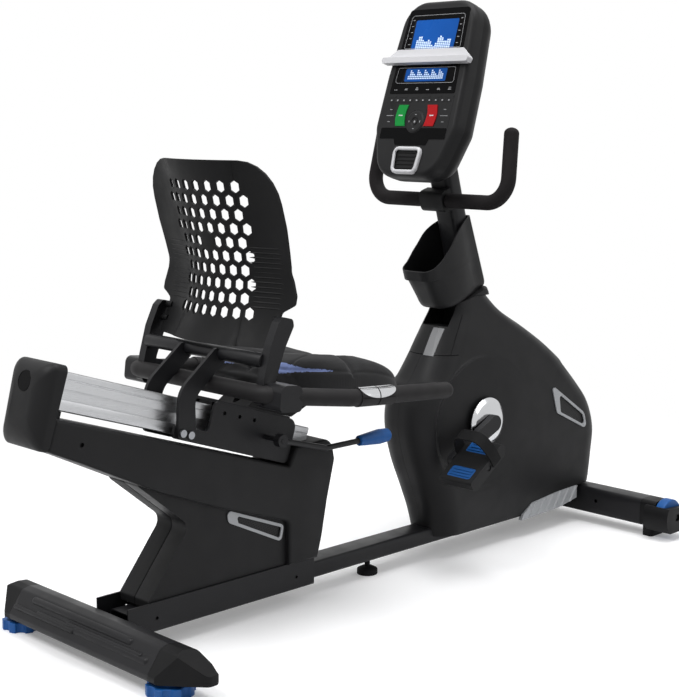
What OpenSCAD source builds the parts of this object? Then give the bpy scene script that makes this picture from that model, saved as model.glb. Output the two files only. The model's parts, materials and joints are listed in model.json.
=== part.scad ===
// Recumbent exercise bike: floor frame, inclined seat rail with a sliding seat,
// belt-driven flywheel inside a moulded shroud, and a console on a raked mast.
// Millimetres. +X points from the seat to the console, +Y to the rider's left,
// +Z up, with the floor at z = 0. Lengths along X start at the rear stabilizer.

/* [Base] */
// Distance from the rear stabilizer's axis to the transport wheels' axle
wheelbase = 1446; // [1430:1:1500]
// Width of the main beam
beam_w = 62; // [54:1:70]
// Height of the main beam
beam_h = 36; // [30:1:40]
// Height of the beam's underside above the floor
beam_z = 38; // [36:1:42]
// Wall of the steel tubes
tube_wall = 2.5; // [1.5:0.5:4]
// Length of the rear stabilizer between its end caps
rear_span = 450; // [430:5:460]
// Length of the front stabilizer between its end caps
front_span = 500; // [460:10:540]
// Distance between the two rear feet
rear_feet = 472; // [440:2:480]
// Diameter of a rear foot's knob
foot_d = 90; // [70:1:96]
// Diameter of the feet's threaded studs
stud_d = 12; // [8:1:16]
// Travel of a levelling foot
foot_travel = 10; // [4:1:12]
// Distance from the rear stabilizer to the centre foot
centre_foot_x = 730; // [600:5:820]
// Diameter of a transport wheel
wheel_d = 82; // [70:1:86]
// Width of a transport wheel
wheel_w = 24; // [18:1:28]
// Diameter of a transport wheel's axle bolt
wheel_axle = 8; // [6:1:12]

/* [Rail] */
// Slope of the seat rail
rail_tilt = 18; // [16:0.5:20]
// Height of the rail's centre line above the rear stabilizer
rail_z = 500; // [490:1:510]
// Width of the rail
rail_w = 56; // [50:1:60]
// Height of the rail
rail_h = 72; // [66:1:76]
// Depth of the rail's side grooves
groove_d = 8; // [5:0.5:10]
// Height of the rail's side grooves
groove_h = 20; // [16:1:24]
// Length of the rail
rail_len = 640; // [620:5:645]
// Clear gap between the rail and the arm under it
arm_gap = 14; // [10:1:18]

/* [Tower] */
// Width of the tower's covers over both halves
tower_w = 120; // [116:1:126]
// Width of the leg panel between the arm and the beam
leg_w = 92; // [86:1:96]
// Wall of the moulded covers
cover_wall = 3; // [2:0.5:4]
// Width of the steel channel at the tower's foot
channel_w = 102; // [98:1:110]
// Height of the channel's walls
channel_h = 56; // [50:1:60]

/* [Shroud] */
// Half width of the shroud at the crank
shroud_half = 78; // [76:1:82]
// Wall of the shroud's mouldings
shroud_wall = 3; // [2:0.5:4]
// Radius of the round recess around the crank
dish_r = 172; // [150:1:178]
// Slope of the recess, deepest at the rear
dish_slope = 4; // [2:0.5:5]

/* [Drive] */
// Distance from the transport wheels' axle back to the crank axle
crank_back = 402; // [392:1:412]
// Height of the crank axle
crank_z = 310; // [304:1:316]
// Crank length from axle to pedal spindle
crank_len = 152; // [140:1:165]
// Angle of the right crank below the horizontal, pointing to the rear
crank_rest = 25; // [0:1:60]
// Diameter of the crank axle
axle_d = 17; // [15:1:20]
// Diameter of the polished disc behind each crank
disc_d = 114; // [100:1:124]
// Radius of the drive pulley
pulley_r = 120; // [100:1:125]
// Radius of the flywheel's small pulley
pinion_r = 20; // [16:1:24]
// Width of the drive belt
belt_w = 10; // [8:1:14]
// Thickness of the drive belt
belt_t = 3; // [2:0.5:4]
// Radius of the flywheel
flywheel_r = 118; // [100:1:120]
// Thickness of the flywheel
flywheel_t = 34; // [24:1:38]
// Distance from the crank axle to the flywheel's axle along X
flywheel_dx = 292; // [286:1:296]
// Height of the flywheel's axle below the crank axle
flywheel_dz = 72; // [68:1:78]
// Diameter of the flywheel's axle
flywheel_axle_d = 14; // [12:1:17]

/* [Pedals] */
// Diameter of a pedal spindle
spindle_d = 14; // [12:1:16]
// Width of a pedal across the foot
pedal_w = 92; // [84:1:100]
// Length of a pedal along the foot
pedal_l = 132; // [120:1:140]
// Thickness of a pedal
pedal_t = 28; // [24:1:32]
// Slope of the pedals, toe up
pedal_tilt = 35; // [0:1:60]
// Height of the toe strap's arch
strap_h = 64; // [56:1:76]
// Width of the toe strap
strap_w = 30; // [24:1:36]

/* [Mast and console] */
// Rake of the mast toward the rider
mast_rake = 16; // [14:0.5:18]
// Width of the mast
mast_w = 62; // [56:1:66]
// Depth of the mast
mast_d = 46; // [42:1:50]
// Diameter of the front handlebar's tube
bar_d = 25; // [22:1:28]
// Diameter of the handlebar's foam sleeves
foam_d = 33; // [30:1:36]
// Spread of the handlebar's upright ends
bar_span = 406; // [380:2:430]
// Height of the handlebar's upright ends
bar_rise = 146; // [130:1:160]
// Lean of the console's face
face_lean = 18; // [16:0.5:20]
// Width of the console
console_w = 244; // [240:1:256]
// Length of the console along its face
console_l = 404; // [398:1:416]
// Depth of the console's back shell
console_d = 62; // [56:1:66]
// Wall of the console's shells
console_wall = 3; // [2:0.5:4]
// Travel of the console's push buttons
key_travel = 1.2; // [0.6:0.1:1.6]

/* [Seat] */
// Travel of the seat along the rail
seat_travel = 240; // [180:5:260]
// Thickness of the carriage's side plates
plate_t = 6; // [4:0.5:8]
// Length of the carriage
carriage_l = 224; // [210:2:230]
// Diameter of the side handles
handle_d = 34; // [30:1:36]
// Spread of the side handles
handle_span = 500; // [480:2:520]
// Diameter of the cross tube behind the seat
cross_d = 28; // [24:1:32]
// Width of the seat cushion
pad_w = 390; // [360:2:410]
// Length of the seat cushion
pad_l = 322; // [300:2:330]
// Height of the cushion at its middle
pad_h = 66; // [54:1:72]
// Slope of the seat, lower at the front
seat_slope = 8.4; // [6:0.2:10]
// Thickness of the backrest shell
back_t = 6; // [4:0.5:8]
// Radius on which the backrest is curved around the rider
back_r = 214; // [200:1:230]
// Radius of the outward curve of the backrest's wings
wing_r = 344; // [320:1:370]
// Angle around the backrest at which its wings begin
wing_turn = 21.7; // [18:0.1:25]
// Width of a hole in the backrest
hole_w = 19.5; // [14:0.5:21]
// Height of a hole in the backrest
hole_h = 25; // [18:0.5:27]
// Pitch of the backrest's holes across the back
hole_pitch = 27; // [24:1:30]
// Pitch of the rows of holes
row_pitch = 27; // [25:1:28]
// Number of rows of holes
hole_rows = 10; // [8:1:10]
// Diameter of the seat lever's rod
lever_d = 12; // [10:1:14]

/* [Hidden] */
$fn = 48;
// Clear gap between separate pieces
gap = 0.3;
// Radial clearance of a turning or sliding fit
fit = 0.05;
// Half gap between mirrored mouldings
seam = 0.15;
wheel_z = 55;
wheel_y = 308;
stab_z = 26;
rear_half = 42;
foot_top = 20;
front_z = 90;
front_half = 30;
beam_top = beam_z + beam_h;
rail_s0 = -96.7;
rail_s1 = rail_s0 + rail_len;
arm_t = -rail_h / 2 - arm_gap;
cap_s = -97;
cap_depth = 43;
cheek_s = 492;
crank_x = wheelbase - crank_back;
flywheel_x = crank_x + flywheel_dx;
flywheel_z = crank_z - flywheel_dz;
belt_y = 34;
floor_t = 5;
arm_y = 88;
arm_t_y = 16;
mast_x = crank_x + 12;
mast_z = 580;
mast_down = 62;
mast_up = 352;
bar_up = 250;
cup_up = 30;
face_x = crank_x - 183;
face_z = 952;
board_z = -14.4;
carriage_s = 262;
plate_y = 42;
bridge_t = rail_h / 2 + 13;
brake_s = carriage_s + 96;
lever_s = 409;
lever_y = 88;
seat_x = 372;
seat_zz = 474;
lumbar_x = 301;
lumbar_z = 705;
post_y = 174;
post_t = 20;
x_rear = (cap_s - cap_depth) * cos(rail_tilt) - 18;
x_front = crank_x + 455;
mid_x = (x_rear + x_front) / 2;

function unit(v) = v / norm(v);
// Points of one rounded corner at p, between the corners a and b
function corner(p, a, b, r, n) =
    r <= 0 ? [p] :
    let (u = unit(a - p), v = unit(b - p), h = acos(max(-1, min(1, u * v))) / 2)
    let (c = p + unit(u + v) * r / sin(h), s = p + u * r / tan(h) - c, e = p + v * r / tan(h) - c)
    let (a0 = atan2(s.y, s.x), d = atan2(e.y, e.x) - a0, w = d > 180 ? d - 360 : d < -180 ? d + 360 : d)
    [for (i = [0:n]) c + r * [cos(a0 + w * i / n), sin(a0 + w * i / n)]];
// Outline from corners [x, y, radius]
function outline(k, n = 5) =
    let (m = len(k))
    [for (i = [0:m - 1]) let (p = k[i], a = k[(i + m - 1) % m], b = k[(i + 1) % m])
        each corner([p.x, p.y], [a.x, a.y], [b.x, b.y], p.z, n)];
// Corners of an anticlockwise outline moved inward by d
function inset(k, d) =
    let (m = len(k))
    [for (i = [0:m - 1]) let (p = [k[i].x, k[i].y])
        let (a = [k[(i + m - 1) % m].x, k[(i + m - 1) % m].y], b = [k[(i + 1) % m].x, k[(i + 1) % m].y])
        let (e = unit(p - a), f = unit(b - p), na = [-e.y, e.x], nb = [-f.y, f.x])
        let (q = p + (na + nb) * d / (1 + na * nb), turn = e.x * f.y - e.y * f.x)
        [q.x, q.y, k[i].z <= 0 ? 0 : max(0.1, k[i].z - (turn > 0 ? d : -d))]];
// Outline around two circles of radius r and q whose centres lie l apart along x
function pair_outline(l, r, q, n = 20) =
    let (a = acos((r - q) / l))
    concat([for (i = [0:n]) r * [cos(a + (360 - 2 * a) * i / n), sin(a + (360 - 2 * a) * i / n)]],
        [for (i = [0:n]) [l, 0] + q * [cos(-a + 2 * a * i / n), sin(-a + 2 * a * i / n)]]);
function bar_corners(w, h, r) = [[-w / 2, -h / 2, r], [w / 2, -h / 2, r], [w / 2, h / 2, r], [-w / 2,
    h / 2, r]];
function rp(s, t) = [s * cos(rail_tilt) + t * sin(rail_tilt),
    rail_z - s * sin(rail_tilt) + t * cos(rail_tilt)];
function rpr(s, t, r) = [rp(s, t).x, rp(s, t).y, r];
function lerp(a, b, f) = a + (b - a) * f;

function mast_point(x, z) = [mast_x + x * cos(mast_rake) - z * sin(mast_rake),
    mast_z + x * sin(mast_rake) + z * cos(mast_rake), 0];

module place() { translate([-mid_x, 0, 0]) children(); }
module both() {
    children();
    mirror([0, 1, 0]) children();
}
module slab_xz(p, y0, y1) { translate([0, y1, 0]) rotate([90, 0, 0]) linear_extrude(y1 - y0) polygon(p); }
module slab_yz(p, x0, x1) { translate([x0, 0, 0]) rotate([90, 0, 90]) linear_extrude(x1 - x0) polygon(p); }
module slab_xy(p, z0, z1) { translate([0, 0, z0]) linear_extrude(z1 - z0) polygon(p); }
module on_rail() { translate([0, 0, rail_z]) rotate([0, rail_tilt, 0]) children(); }
module on_mast() { translate([mast_x, 0, mast_z]) rotate([0, -mast_rake, 0]) children(); }
module on_seat() { translate([seat_x, 0, seat_zz]) rotate([0, seat_slope, 0]) children(); }
// Frame of the console: x to the rider's right, y up the face, z toward the rider
module on_console() {
    translate([face_x, 0, face_z]) rotate([0, face_lean, 0]) rotate([0, 0, -90]) rotate([90, 0,
        0]) children();
}
module rod(p, q, d) {
    v = q - p;
    translate(p) rotate([0, acos(v.z / norm(v)), atan2(v.y, v.x)]) cylinder(d = d, h = norm(v));
}
// Solid through a list of rings that hold equally many points, in either sense
module skin(rings) {
    m = len(rings[0]);
    k = len(rings);
    turn = ring_turn(rings[0]) * (ring_mid(rings[k - 1]) - ring_mid(rings[0]));
    r = turn > 0 ? rings : [for (q = rings) [for (i = [m - 1:-1:0]) q[i]]];
    sides = [for (j = [0:k - 2]) for (i = [0:m - 1]) let (a = j * m + i, b = j * m + (i + 1) % m)
        each [[a, a + m, b], [b, a + m, b + m]]];
    ends = [[for (i = [0:m - 1]) i], [for (i = [m - 1:-1:0]) (k - 1) * m + i]];
    polyhedron([for (q = r) each q], concat(sides, ends), convexity = 8);
}
function ring_mid(q) = let (m = len(q)) [for (i = [0:m - 1]) 1] * q / m;
function ring_turn(q, i = 0, t = [0, 0, 0]) =
    i >= len(q) ? t : ring_turn(q, i + 1, t + cross(q[i], q[(i + 1) % len(q)]));
// Points and directions along p, bent to the centre-line radius r at each inner point
function bend_cut(p, i, r) =
    i == 0 || i == len(p) - 1 ? 0 : r * tan(acos(unit(p[i] - p[i - 1]) * unit(p[i + 1] - p[i])) / 2);
function bend_run(p, r, n = 5) =
    [for (i = [0:len(p) - 1])
        let (e = i == 0 ? unit(p[1] - p[0]) : unit(p[i] - p[i - 1]))
        let (f = i == len(p) - 1 ? e : unit(p[i + 1] - p[i]), w = acos(max(-1, min(1, e * f))))
        each (w < 0.1 ? [[p[i], e]] :
            let (u = unit(f - e * (e * f)), a = p[i] - e * bend_cut(p, i, r))
            [for (k = [0:n]) let (t = w * k / n)
                [a + u * r * (1 - cos(t)) + e * r * sin(t), e * cos(t) + u * sin(t)]])];
// Ring of n points of diameter d around a point of a run, turned toward the direction up
function run_ring(q, d, up, n) =
    let (x = unit(cross(up, q[1])), y = cross(q[1], x))
    [for (i = [0:n - 1]) q[0] + d / 2 * (x * cos(i * 360 / n) + y * sin(i * 360 / n))];
// Round bar along p, with rounded ends where dome is set
module bar(p, d, r, up, n = 18, dome = 0) {
    g = bend_run(p, r);
    m = len(g) - 1;
    head = [for (a = [80, 60, 40, 20]) run_ring([g[0][0] - g[0][1] * dome * sin(a), g[0][1]],
        d * cos(a), up, n)];
    tail = [for (a = [20, 40, 60, 80]) run_ring([g[m][0] + g[m][1] * dome * sin(a), g[m][1]],
        d * cos(a), up, n)];
    body = [for (q = g) run_ring(q, d, up, n)];
    skin_free(dome > 0 ? concat(head, body, tail) : body);
}
// Same as skin, for rings that follow a bent run
module skin_free(rings) {
    m = len(rings[0]);
    k = len(rings);
    sides = [for (j = [0:k - 2]) for (i = [0:m - 1]) let (a = j * m + i, b = j * m + (i + 1) % m)
        each [[a, a + m, b], [b, a + m, b + m]]];
    ends = [[for (i = [0:m - 1]) i], [for (i = [m - 1:-1:0]) (k - 1) * m + i]];
    polyhedron([for (q = rings) each q], concat(sides, ends), convexity = 8);
}
// Sleeve along p with an open end at its tail and a closed dome at its head
module sleeve(p, d, bore, r, up, n = 18) {
    g = bend_run(p, r);
    m = len(g) - 1;
    head = [for (a = [80, 60, 40, 20]) run_ring([g[0][0] - g[0][1] * d * 0.4 * sin(a), g[0][1]],
        d * cos(a), up, n)];
    skin_free(concat(head, [for (q = g) run_ring(q, d, up, n)], [for (i = [m:-1:0]) run_ring(g[i],
        bore, up, n)]));
}

rear_section = [[-44, stab_z, 6], [rear_half, stab_z, 6], [rear_half, 58, 12], [30, 82, 10], [4, 86,
    14], [-14, 82, 10], [-44, 40, 8]];
front_section = [[-front_half, stab_z, 6], [front_half, stab_z, 6], [front_half, front_z, 12],
    [-front_half, front_z, 12]];

module main_frame() color("#232326") place() {
    c = bar_corners(beam_w, beam_h, 8);
    h = channel_w / 2;
    z = beam_z + beam_h / 2;
    difference() {
        translate([0, 0, z]) slab_yz(outline(c), 60, wheelbase - front_half - gap);
        translate([0, 0, z]) slab_yz(outline(inset(c, tube_wall)), 59, wheelbase);
        translate([centre_foot_x, 0, beam_z - 10]) cylinder(d = stud_d + 2 * fit, h = 30);
    }
    difference() {
        slab_yz(outline([[-h, beam_z - 3, 5], [h, beam_z - 3, 5], [h, beam_z + channel_h, 0], [-h,
            beam_z + channel_h, 0]]),
            rear_half + gap, 520);
        slab_yz([[3 - h, beam_z], [h - 3, beam_z], [h - 3, 200], [3 - h, 200]], rear_half, 521);
        for (x = [110, 470]) translate([x, -h - 1, 62]) rotate([-90, 0, 0]) cylinder(d = 7, h = 2 * h + 2);
    }
    translate([centre_foot_x, 0, beam_z + tube_wall]) difference() {
        cylinder(d = stud_d + 10, h = 20);
        translate([0, 0, -1]) cylinder(d = stud_d + 2 * fit, h = 30);
    }
}

module rear_stabilizer() color("#2b2b2e") place() {
    h = rear_span / 2;
    slope = atan2(42, 30);
    difference() {
        union() {
            difference() {
                slab_xz(outline(rear_section), -h, h);
                slab_xz(outline(inset(rear_section, tube_wall)), -h - 1, h + 1);
            }
            for (k = [[-29, -185, 40], [-34, 20, 215]])
                translate([k.x, k.y, 61 - (k.x + 29) * -1.4]) rotate([0, -90 + slope, 0]) difference() {
                    union() {
                        rotate([-90, 0, 0]) cylinder(d = 10, h = k.z - k.y);
                        sphere(d = 10);
                        translate([0, k.z - k.y, 0]) sphere(d = 10);
                    }
                    translate([-20, -20, -40]) cube([40, k.z - k.y + 40, 39]);
                }
        }
        for (y = [-150, 150]) translate([0, y, stab_z - 1]) cylinder(d = 8, h = 8);
    }
}

module rear_end_caps() color("#1c1c1e") place() both() {
    a = rear_span / 2 + gap;
    difference() {
        intersection() {
            slab_xz(outline(rear_section), a, a + 110);
            slab_xy(outline([[-60, a - 9, 0], [60, a - 9, 0], [60, a + 72, 10], [42, a + 93, 12], [20,
                a + 93, 12], [-60, a, 10]]), 0, 120);
            slab_yz([[a - 20, 0], [a + 120, 0], [a + 120, 30], [a + 86, 48], [a + 40, 88], [a - 20,
                100]], -60, 60);
        }
        translate([-2, rear_feet / 2, 0]) cylinder(d = stud_d + 2 * fit, h = stab_z + 38);
    }
}

module rear_foot() {
    difference() {
        cylinder(d = foot_d, h = foot_top);
        for (i = [0:7]) rotate(i * 45) translate([foot_d / 2 + 4, 0, -1]) cylinder(d = 22,
            h = foot_top + 2);
    }
    cylinder(d = foot_d * 0.6, h = stab_z - gap);
    cylinder(d = stud_d, h = stab_z + 36);
}
module rear_foot_right() color("#1f5fa0") place() translate([-2, -rear_feet / 2, 0]) rear_foot();
module rear_foot_left() color("#1f5fa0") place() translate([-2, rear_feet / 2, 0]) rear_foot();

module centre_foot() color("#161617") place() translate([centre_foot_x, 0, 0]) {
    cylinder(d = 46, h = 12);
    translate([0, 0, 12]) cylinder(d1 = 46, d2 = 22, h = 6);
    cylinder(d = stud_d, h = beam_z + 20);
}

module front_stabilizer() color("#2b2b2e") place() translate([wheelbase, 0, 0]) difference() {
    slab_xz(outline(front_section), -front_span / 2, front_span / 2);
    slab_xz(outline(inset(front_section, tube_wall)), -front_span, front_span);
    for (y = [-120, 120]) translate([-front_half - 1, y, 60]) rotate([0, 90, 0]) cylinder(d = 9, h = 8);
}

module front_end_caps() color("#1c1c1e") place() translate([wheelbase, 0, 0]) both() {
    a = front_span / 2 + gap;
    difference() {
        union() {
            slab_xz(outline(front_section), a, wheel_y - 14);
            intersection() {
                translate([0, a + 20, wheel_z]) rotate([-90, 0, 0]) cylinder(r = wheel_d / 2 + 5,
                    h = wheel_y + 30 - a - 20);
                slab_xz([[-80, 16], [80, 16], [80, wheel_z + 18], [-80, wheel_z + 30]], a, wheel_y + 60);
            }
        }
        translate([0, wheel_y - wheel_w / 2 - 3, wheel_z]) rotate([-90, 0,
            0]) cylinder(r = wheel_d / 2 + 2.5, h = wheel_w + 6);
        translate([0, wheel_y - 45, wheel_z]) rotate([-90, 0, 0]) cylinder(d = wheel_axle, h = 120);
        translate([0, wheel_y + 23, wheel_z]) rotate([-90, 0, 0]) cylinder(d = wheel_axle + 10, h = 20);
        translate([-100, a - 1, -10]) cube([200, 120, 30]);
    }
    translate([0, wheel_y - 44, wheel_z]) rotate([-90, 0, 0]) cylinder(d = wheel_axle - 0.2, h = 70);
    translate([4, a + 16, 0]) slab_xy(outline(bar_corners(52, 28, 6)), 0, stab_z + 2);
}

module transport_wheel() {
    rotate([-90, 0, 0]) translate([0, 0, -wheel_w / 2]) rotate_extrude()
        polygon(outline([[wheel_axle / 2 - 0.1 + fit, 0, 0], [wheel_d / 2, 0, 3], [wheel_d / 2,
            wheel_w, 3], [wheel_axle / 2 - 0.1 + fit, wheel_w, 0]]));
}
module transport_wheel_right() color("#1f5fa0") place() translate([wheelbase, -wheel_y,
    wheel_z]) transport_wheel();
module transport_wheel_left() color("#1f5fa0") place() translate([wheelbase, wheel_y,
    wheel_z]) transport_wheel();

module tower_frame() color("#3a3a3d") place() {
    w = 22;
    arm_s = cap_s + cover_wall + 3 * gap;
    arm_len = 540 - arm_s;
    on_rail() {
        difference() {
            translate([arm_s, -w, arm_t - 46]) cube([arm_len, 2 * w, 40]);
            translate([arm_s - 1, tube_wall - w, arm_t - 46 + tube_wall])
                cube([arm_len + 2, 2 * (w - tube_wall), 40 - 2 * tube_wall]);
        }
        for (s = [-92, 500]) translate([s, 2 - w, arm_t - 7]) cube([30, 2 * w - 4, arm_gap + 7 - gap]);
    }
    both() {
        slab_xz([[392, beam_top], [474, beam_top], [520, 250], [420, 283]], w - 6, w - 1);
        slab_xz([[120, beam_top], [176, beam_top], [330, 312], [262, 334]], w - 6, w - 1);
    }
}

tower_corners = [rpr(cap_s + gap, -110, 4), rpr(-14, -120, 60), rpr(170, -147, 80), [265, 249, 10],
    [444, 187, 12],
    [444, beam_z + channel_h + gap, 0], [524, beam_z + channel_h + gap, 0], [537, 140, 30], [552, 213, 60],
    [574, 298, 20], [564, 344, 26], rpr(cheek_s, -8, 6), rpr(cheek_s - 7, arm_t, 6), rpr(cap_s + gap,
        arm_t, 4)];
leg_corners = [[96, beam_top + 4, 4], [460, beam_top + 4, 4], [470, 240, 8], [300, 280, 8], [120, 328,
    8], [192, 226, 24], [94, 96, 8]];
vent_corners = [[286, 240, 8], [291, 213, 12], [430, 146, 8], [438, 180, 10]];

// Half cover with a stepped outer edge
module cover_solid(c, w, soft) {
    slab_xz(outline(c, 4), seam, w - soft);
    slab_xz(outline(inset(c, soft * 0.4), 4), 8, w - soft * 0.35);
    slab_xz(outline(inset(c, soft), 4), 12, w);
}
module tower_half() {
    h = tower_w / 2;
    g = leg_w / 2;
    difference() {
        union() {
            cover_solid(tower_corners, h, 6);
            slab_xz(outline(leg_corners, 4), seam, g);
        }
        slab_xz(outline(inset(tower_corners, cover_wall), 4), -2, h - 6 - 1);
        slab_xz(outline(inset(leg_corners, cover_wall), 4), -1, g - cover_wall);
        on_rail() translate([cheek_s - 14, -3, -rail_h / 2 - 1]) cube([90, rail_w / 2 + 4, 140]);
        on_rail() translate([cap_s - 8, -4, arm_t - 12]) cube([46, 28, 30]);
        slab_xz(outline(inset(vent_corners, 3)), g - 12, g + 9);
        on_rail() translate([-30, h - 10, -86]) rotate([-90, 0, 0]) cylinder(d = 8, h = 20);
        slab_yz([[-5, 0], [23.5, 0], [23.5, beam_top + 40], [-5, beam_top + 40]], 60, 560);
    }
}
module tower_cover_left() color("#242427") place() tower_half();
module tower_cover_right() color("#242427") place() mirror([0, 1, 0]) tower_half();

// Grille in a window: frame, backing with small holes, and a plain lip toward the corner
module grille(c, w, lip) {
    difference() {
        union() {
            slab_xz(outline(c), w + gap, w + 3);
            slab_xz(outline(inset(c, 3 + gap)), w - 6, w + 1);
        }
        difference() {
            slab_xz(outline(inset(c, 6)), w - 4, w + 10);
            slab_xz(lip, w - 5, w + 1.5);
        }
        children();
    }
}
module vents() color("#b9bbbe") place() both() {
    g = leg_w / 2;
    w = shroud_half;
    grille(vent_corners, g, [[260, 190], [320, 190], [308, 270], [260, 270]])
        for (i = [0:9]) for (j = [0:2])
            translate([330 + i * 9.8, g - 8, 213 - i * 4.5 - j * 8 + (i % 2) * 3]) rotate([-90, 0,
                0]) cylinder(d = 5.6, h = 12);
    grille(shroud_vent, w, [for (q = [[216, 270], [276, 270], [258, 390], [216, 390]]) [crank_x + q.x,
        q.y]])
        for (i = [0:8]) for (j = [0:3])
            translate([crank_x + 282 + i * 10, w - 10,
                316 - i * 6.6 - j * 9 + (i % 2) * 4]) rotate([-90, 0, 0]) cylinder(d = 6, h = 14);
}

rail_corners = bar_corners(rail_w, rail_h, 3);
module rail() color("#b4b7bb") place() on_rail() {
    h = rail_w / 2;
    difference() {
        slab_yz(outline(rail_corners), rail_s0, rail_s1);
        for (k = [-1, 1]) translate([0, k * (h - groove_d / 2 + 1), -5])
            slab_yz(outline(bar_corners(groove_d + 2, groove_h, 0)), rail_s0 - 1, rail_s1 + 1);
        for (k = [-1, 1]) translate([rail_s0 - 1, k * h, 22]) rotate([0, 90, 0]) cylinder(d = 3,
            h = rail_len + 2);
        for (k = [[8, rail_h / 2 - 4], [4 - rail_h / 2, -18]])
            slab_yz([[4 - h, k.x], [h - 4, k.x], [h - 4, k.y], [4 - h, k.y]], rail_s0 - 1, rail_s1 + 1);
        slab_yz([[groove_d + 4 - h, -14], [h - groove_d - 4, -14], [h - groove_d - 4, 4],
            [groove_d + 4 - h, 4]],
            rail_s0 - 1, rail_s1 + 1);
    }
}

module rail_end_cap() color("#242427") place() on_rail() {
    h = tower_w / 2 + 2;
    top = rail_h / 2 + 10;
    c = [[-h, -112, 14], [h, -112, 14], [h, top, 16], [-h, top, 16]];
    skin([for (k = [[0, 0], [0.4, 0], [0.62, 3], [0.8, 9], [0.93, 19], [1, 34]])
        [for (q = outline(inset(c, k.y), 5)) [cap_s - cap_depth * k.x * (1 - 0.34 * pow(max(0,
            -q.y - 10) / 102, 2)), q.x, q.y]]]);
}

// Plan of the shroud by height: z, rear end, front end and half width from the crank's values
shroud_levels = [[54, -138, 442, -14], [110, -148, 449, -6], [170, -170, 453, -2], [235, -197, 455, 0],
    [300, -215, 430, 0],
    [352, -216, 384, 0], [404, -198, 330, -1], [426, -176, 308, -2], [470, -146, 247, -6], [514, -122,
        174, -12],
    [558, -94, 96, -20], [600, -66, 46, -26]];
// Half plan ring from the rear centre round to the front centre
function half_ring(k, d, y0) =
    let (z = k[0], a = crank_x + k[1] + d, b = crank_x + k[2] - d, w = shroud_half + k[3] - d)
    let (r = min(w - 4, (b - a) * 0.3, 62 - d), f = min(w - 2, (b - a) * 0.42, 72 - d))
    concat([[a, y0, z]], [for (i = [0:5]) [a + r - r * cos(i * 18), w - r + r * sin(i * 18), z]],
        [for (i = [0:6]) [b - f + f * sin(i * 15), w - f + f * cos(i * 15), z]], [[b, y0, z]]);
module dish(d) {
    translate([crank_x, shroud_half - 8 - d, crank_z]) rotate([0, 0, dish_slope]) rotate([-90, 0,
        0]) cylinder(r = dish_r + d, h = 60, $fn = 96);
}
shroud_vent = [for (q = [[236, 366, 6], [259, 294, 12], [381, 236, 8], [368, 280, 30]]) [crank_x + q.x,
    q.y, q.z]];
// Edge over the step at the front, as x from the crank and z
step_edge = [[136, 30], [148, 58], [182, 82], [278, 92], [360, 95], [486, 97], [486, 30]];
// Silver moulding under that edge, with its corner radii
step_trim = [[143, 45, 0], [288, 50, 20], [360, 62, 0], [360, 94.5, 0], [278, 91.6, 0], [182, 81.6, 6],
    [149, 57, 4]];
module shroud_half_body() {
    difference() {
        skin([for (k = shroud_levels) half_ring(k, 0, seam)]);
        dish(0);
        difference() {
            skin([for (i = [0:len(shroud_levels) - 1]) let (k = shroud_levels[i])
                half_ring([i == 0 ? 40 : i == len(shroud_levels) - 1 ? 597 : k[0], k[1], k[2], k[3]],
                    shroud_wall, -2)]);
            dish(shroud_wall);
        }
        translate([crank_x, 0, crank_z]) rotate([-90, 0, 0]) cylinder(d = axle_d + 30, h = 120);
        slab_xz([[crank_x - 300, 0], [crank_x + 500, 0], [crank_x + 500, beam_top + 1.5],
            [crank_x - 300, beam_top + 1.5]], -3, beam_w / 2 + 1.5);
        translate([crank_x, 0, 0]) slab_xz(step_edge, -3, 120);
        slab_xz(outline(inset(shroud_vent, 3)), 40, 120);
        slab_xz([[crank_x - 160, 542], [crank_x - 26, 530], [crank_x - 26, 640], [crank_x - 160, 640]],
            -3, 40);
        on_mast() translate([0, 0, -40]) linear_extrude(120) polygon(outline(bar_corners(mast_d + 2,
            mast_w + 2, 15)));
        on_mast() translate([-300, -5, cup_up - 2 * gap]) cube([330, 200, 100]);
    }
}
module shroud_left() color("#29292c") place() shroud_half_body();
module shroud_right() color("#29292c") place() mirror([0, 1, 0]) shroud_half_body();

// Skin that lies on a half of the shroud, from d0 to d1 outside it
module shroud_skin(d0, d1) {
    difference() {
        skin([for (k = shroud_levels) half_ring(k, -d1, 0)]);
        skin([for (i = [0:len(shroud_levels) - 1]) let (k = shroud_levels[i])
            half_ring([k[0] + (i == 0 ? -1 : i == len(shroud_levels) - 1 ? 1 : 0), k[1], k[2], k[3]],
                -d0, -1)]);
    }
}
module trims() color("#a9abae") place() {
    w = shroud_half;
    both() translate([crank_x, 0, 0]) {
        difference() {
            slab_xz(outline(step_trim), w - 18, w - 8);
            slab_xz(outline(inset(step_trim, 3)), w - 20, w - 11);
        }
        intersection() {
            slab_xz(outline(inset(step_trim, 1)), w - 12, w - 5);
            for (i = [0:6]) translate([162 + i * 30, w - 9, 30]) rotate([0, 35, 0]) cylinder(d = 9,
                h = 110);
        }
    }
    mirror([0, 1, 0]) intersection() {
        shroud_skin(gap, 2.4);
        slab_xz([for (q = [[-170, 478], [-110, 470], [-80, 530], [-140, 538]]) [crank_x + q.x, q.y]],
            8, 34);
    }
}

module mast_collar() color("#232326") place() difference() {
    skin([for (k = [[600.2, 0], [606, 0], [622, 4], [624, 7]])
        [for (q = outline(inset(bar_corners(88, 98, 24), k.y),
            5)) [q.x + mast_x - 8 - (k.x - 600) * 0.28, q.y, k.x]]]);
    on_mast() translate([0, 0, -30]) linear_extrude(120) polygon(outline(bar_corners(mast_d + 2 * gap,
        mast_w + 2 * gap, 14 + gap)));
    on_mast() translate([-100, -100, cup_up - 2 * gap]) cube([200, 200, 100]);
}

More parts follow.
